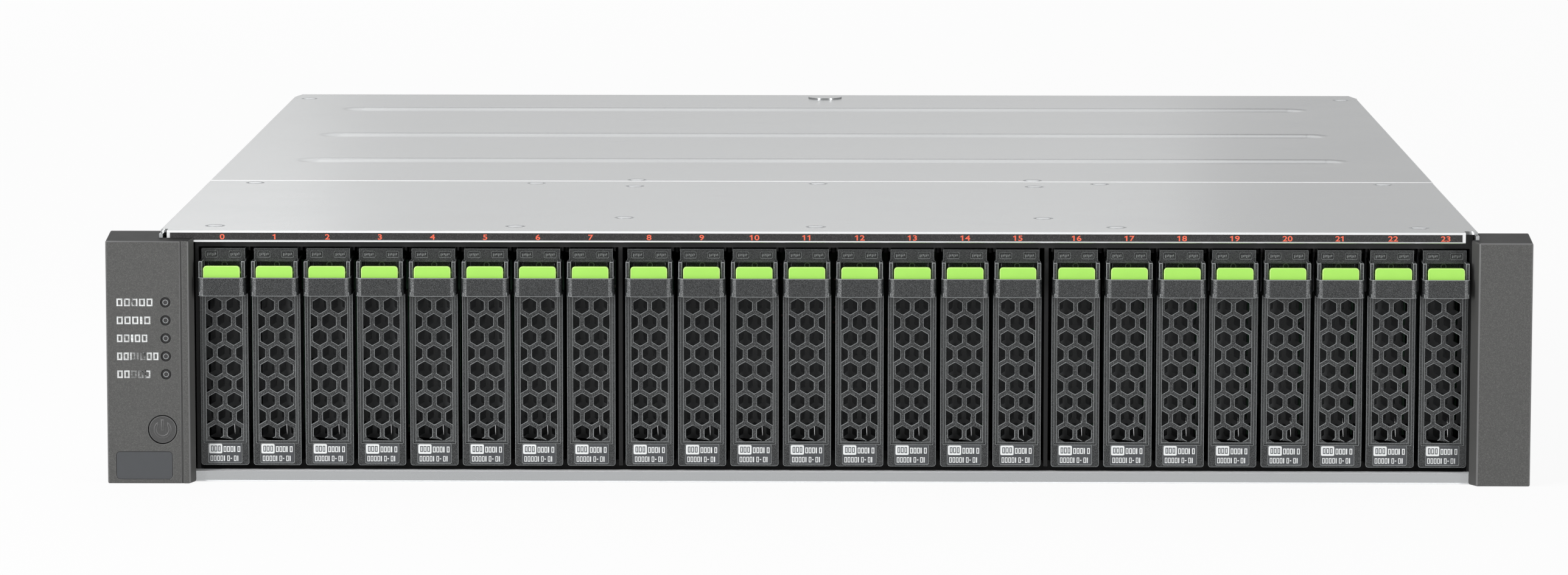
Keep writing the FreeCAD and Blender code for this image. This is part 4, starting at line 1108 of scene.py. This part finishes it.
def dressChassis():
    front = frontOf("chassis_tray")

    def edges(a, b):
        return float(abs(a.x - b.x) > tray["long"] and max(a.y, b.y) < front + same)

    shape = cadCopy("chassis_tray", lambda low, high: 0)
    piece = cadPiece("chassisTray", shape, edges, "zinc zincFront", tray["round"], 3)
    # the sill's faces at the front take the near-white copy of the zinc: painted light
    repaint(piece, lambda face, x, y, z: 1 if y < front + tray["sillDeep"] and z < tray["sillTall"] else None)
    fit(piece, "chassis", "zinc_steel", "chassis_tray")
    for node, key in (("drive_cage", "black"), ("midplane", "board")):
        mesh = frame["nodes"][node].data
        mesh.materials.clear()
        mesh.materials.append(finishes[key])
    print("chassis dressed")


# Rear modules

controllers = {
    "nodes": (("controller_lower", "controllerLower"), ("controller_upper", "controllerUpper")),
    "paint": "moduleZinc board portShell alu connector ejector", "round": 0.25, "caseWide": 230,
    "caseTall": 30, "boardWide": 200, "ejectorDeep": 5, "ejectorTall": 6, "portDeep": 20, "sinkLong": 50,
}
supplies = {
    "nodes": (("power_supply_left", "powerSupplyLeft"), ("power_supply_right", "powerSupplyRight")),
    "paint": "moduleZinc board fan brass copper", "round": 0.2, "caseWide": 95, "caseTall": 70,
    "boardWide": 60, "boardTall": 3, "pinDeep": 40, "pinSize": 8, "fanDeep": 60,
}


def controllerPart(low, high, back):
    wide, deep, tall = (high[k] - low[k] for k in range(3))
    if wide > controllers["caseWide"] and tall > controllers["caseTall"]:
        return 0
    if wide > controllers["boardWide"]:
        return 1
    if high[1] > back - controllers["ejectorDeep"] and tall < controllers["ejectorTall"]:
        return 5
    if high[1] > back - controllers["portDeep"]:
        return 2
    return 3 if deep > controllers["sinkLong"] else 4


def supplyPart(low, high, back):
    wide, deep, tall = (high[k] - low[k] for k in range(3))
    if wide > supplies["caseWide"] and tall > supplies["caseTall"]:
        return 0
    if tall < supplies["boardTall"] and wide > supplies["boardWide"]:
        return 1
    if low[1] > back - supplies["pinDeep"] and wide < supplies["pinSize"] and tall < supplies["pinSize"]:
        return 3
    return 2 if low[1] > back - supplies["fanDeep"] else 4


def dressModules():
    for kind, part in ((controllers, controllerPart), (supplies, supplyPart)):
        for node, name in kind["nodes"]:
            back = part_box(node)[1].y / mm
            shape = cadCopy(node, lambda low, high: part(low, high, back))
            fit(newPiece(name, shape, kind["paint"], bevel(kind["round"]), flatter), node, "module_steel", node)
    print("modules dressed")


# Room

room = {"fill": 0.38, "floor": (240, 240, 240), "floorSize": 6.0, "seen": 0.92, "aim": (0.0, -0.1, 0.04)}
lights = (        # name, place, size, power
    ("keyLight", (-1.3, -0.9, 1.7), (1.5, 1.5), 24.0),
    ("leftLight", (-1.75, -1.75, 0.34), (0.14, 0.66), 22.0),
    ("rightLight", (1.75, -1.75, 0.34), (0.14, 0.66), 20.0),
    ("backLight", (-0.25, 2.4, 1.48), (2.5, 1.2), 10.5),
    ("lowBackLight", (-0.7, 2.5, 0.75), (2.1, 0.5), 2.8),
    ("lowLeftLight", (-1.1, 2.45, 0.72), (1.5, 0.5), 1.9),
)


def setLights():
    for name, place, size, power in lights:
        data = bpy.data.lights.new(name, "AREA")
        data.shape, (data.size, data.size_y), data.energy = "RECTANGLE", size, power
        aim = (Vector(room["aim"]) - Vector(place)).to_track_quat("-Z", "Y")
        addObject(name, data).matrix_world = Matrix.Translation(place) @ aim.to_matrix().to_4x4()


def setRoom():
    white = (1.0, 1.0, 1.0, 1.0)
    scene.world = bpy.data.worlds.new("room")
    scene.world.use_nodes = True
    tree = scene.world.node_tree
    nodes, sky = Nodes(tree), tree.nodes["Background"].inputs
    nodes.feed(sky["Color"], white)
    nodes.feed(sky["Strength"], nodes.looks() * (1.0 - room["fill"]) + room["fill"])
    shape = bmesh.new()
    bmesh.ops.create_grid(shape, x_segments=1, y_segments=1, size=room["floorSize"])
    mesh = closed(shape, bpy.data.meshes.new("floor"))
    material = bpy.data.materials.new("floorPaper")
    material.use_nodes = True
    tree = material.node_tree
    nodes = Nodes(tree)
    tree.nodes.remove(tree.nodes["Principled BSDF"])
    paper = nodes.add("ShaderNodeBsdfDiffuse", {}, {"Color": ink(*room["floor"])})
    glow = nodes.add("ShaderNodeEmission", {}, {"Color": white, "Strength": 1.0})
    mixed = nodes.add("ShaderNodeMixShader", {}, {0: nodes.looks() * room["seen"], 1: paper, 2: glow})
    tree.links.new(mixed.socket, tree.nodes["Material Output"].inputs["Surface"])
    mesh.materials.append(material)
    addObject("floor", mesh)
    scene.view_settings.view_transform = "Standard"


setCamera()
setLights()
setRoom()
dressDrives()
dressCovers()
setNumerals()
dressEar("left_ear", "earLeft")
dressEar("right_ear", "earRight")
legendMarks()
dressButton()
print("ears dressed")
dressChassis()
dressModules()
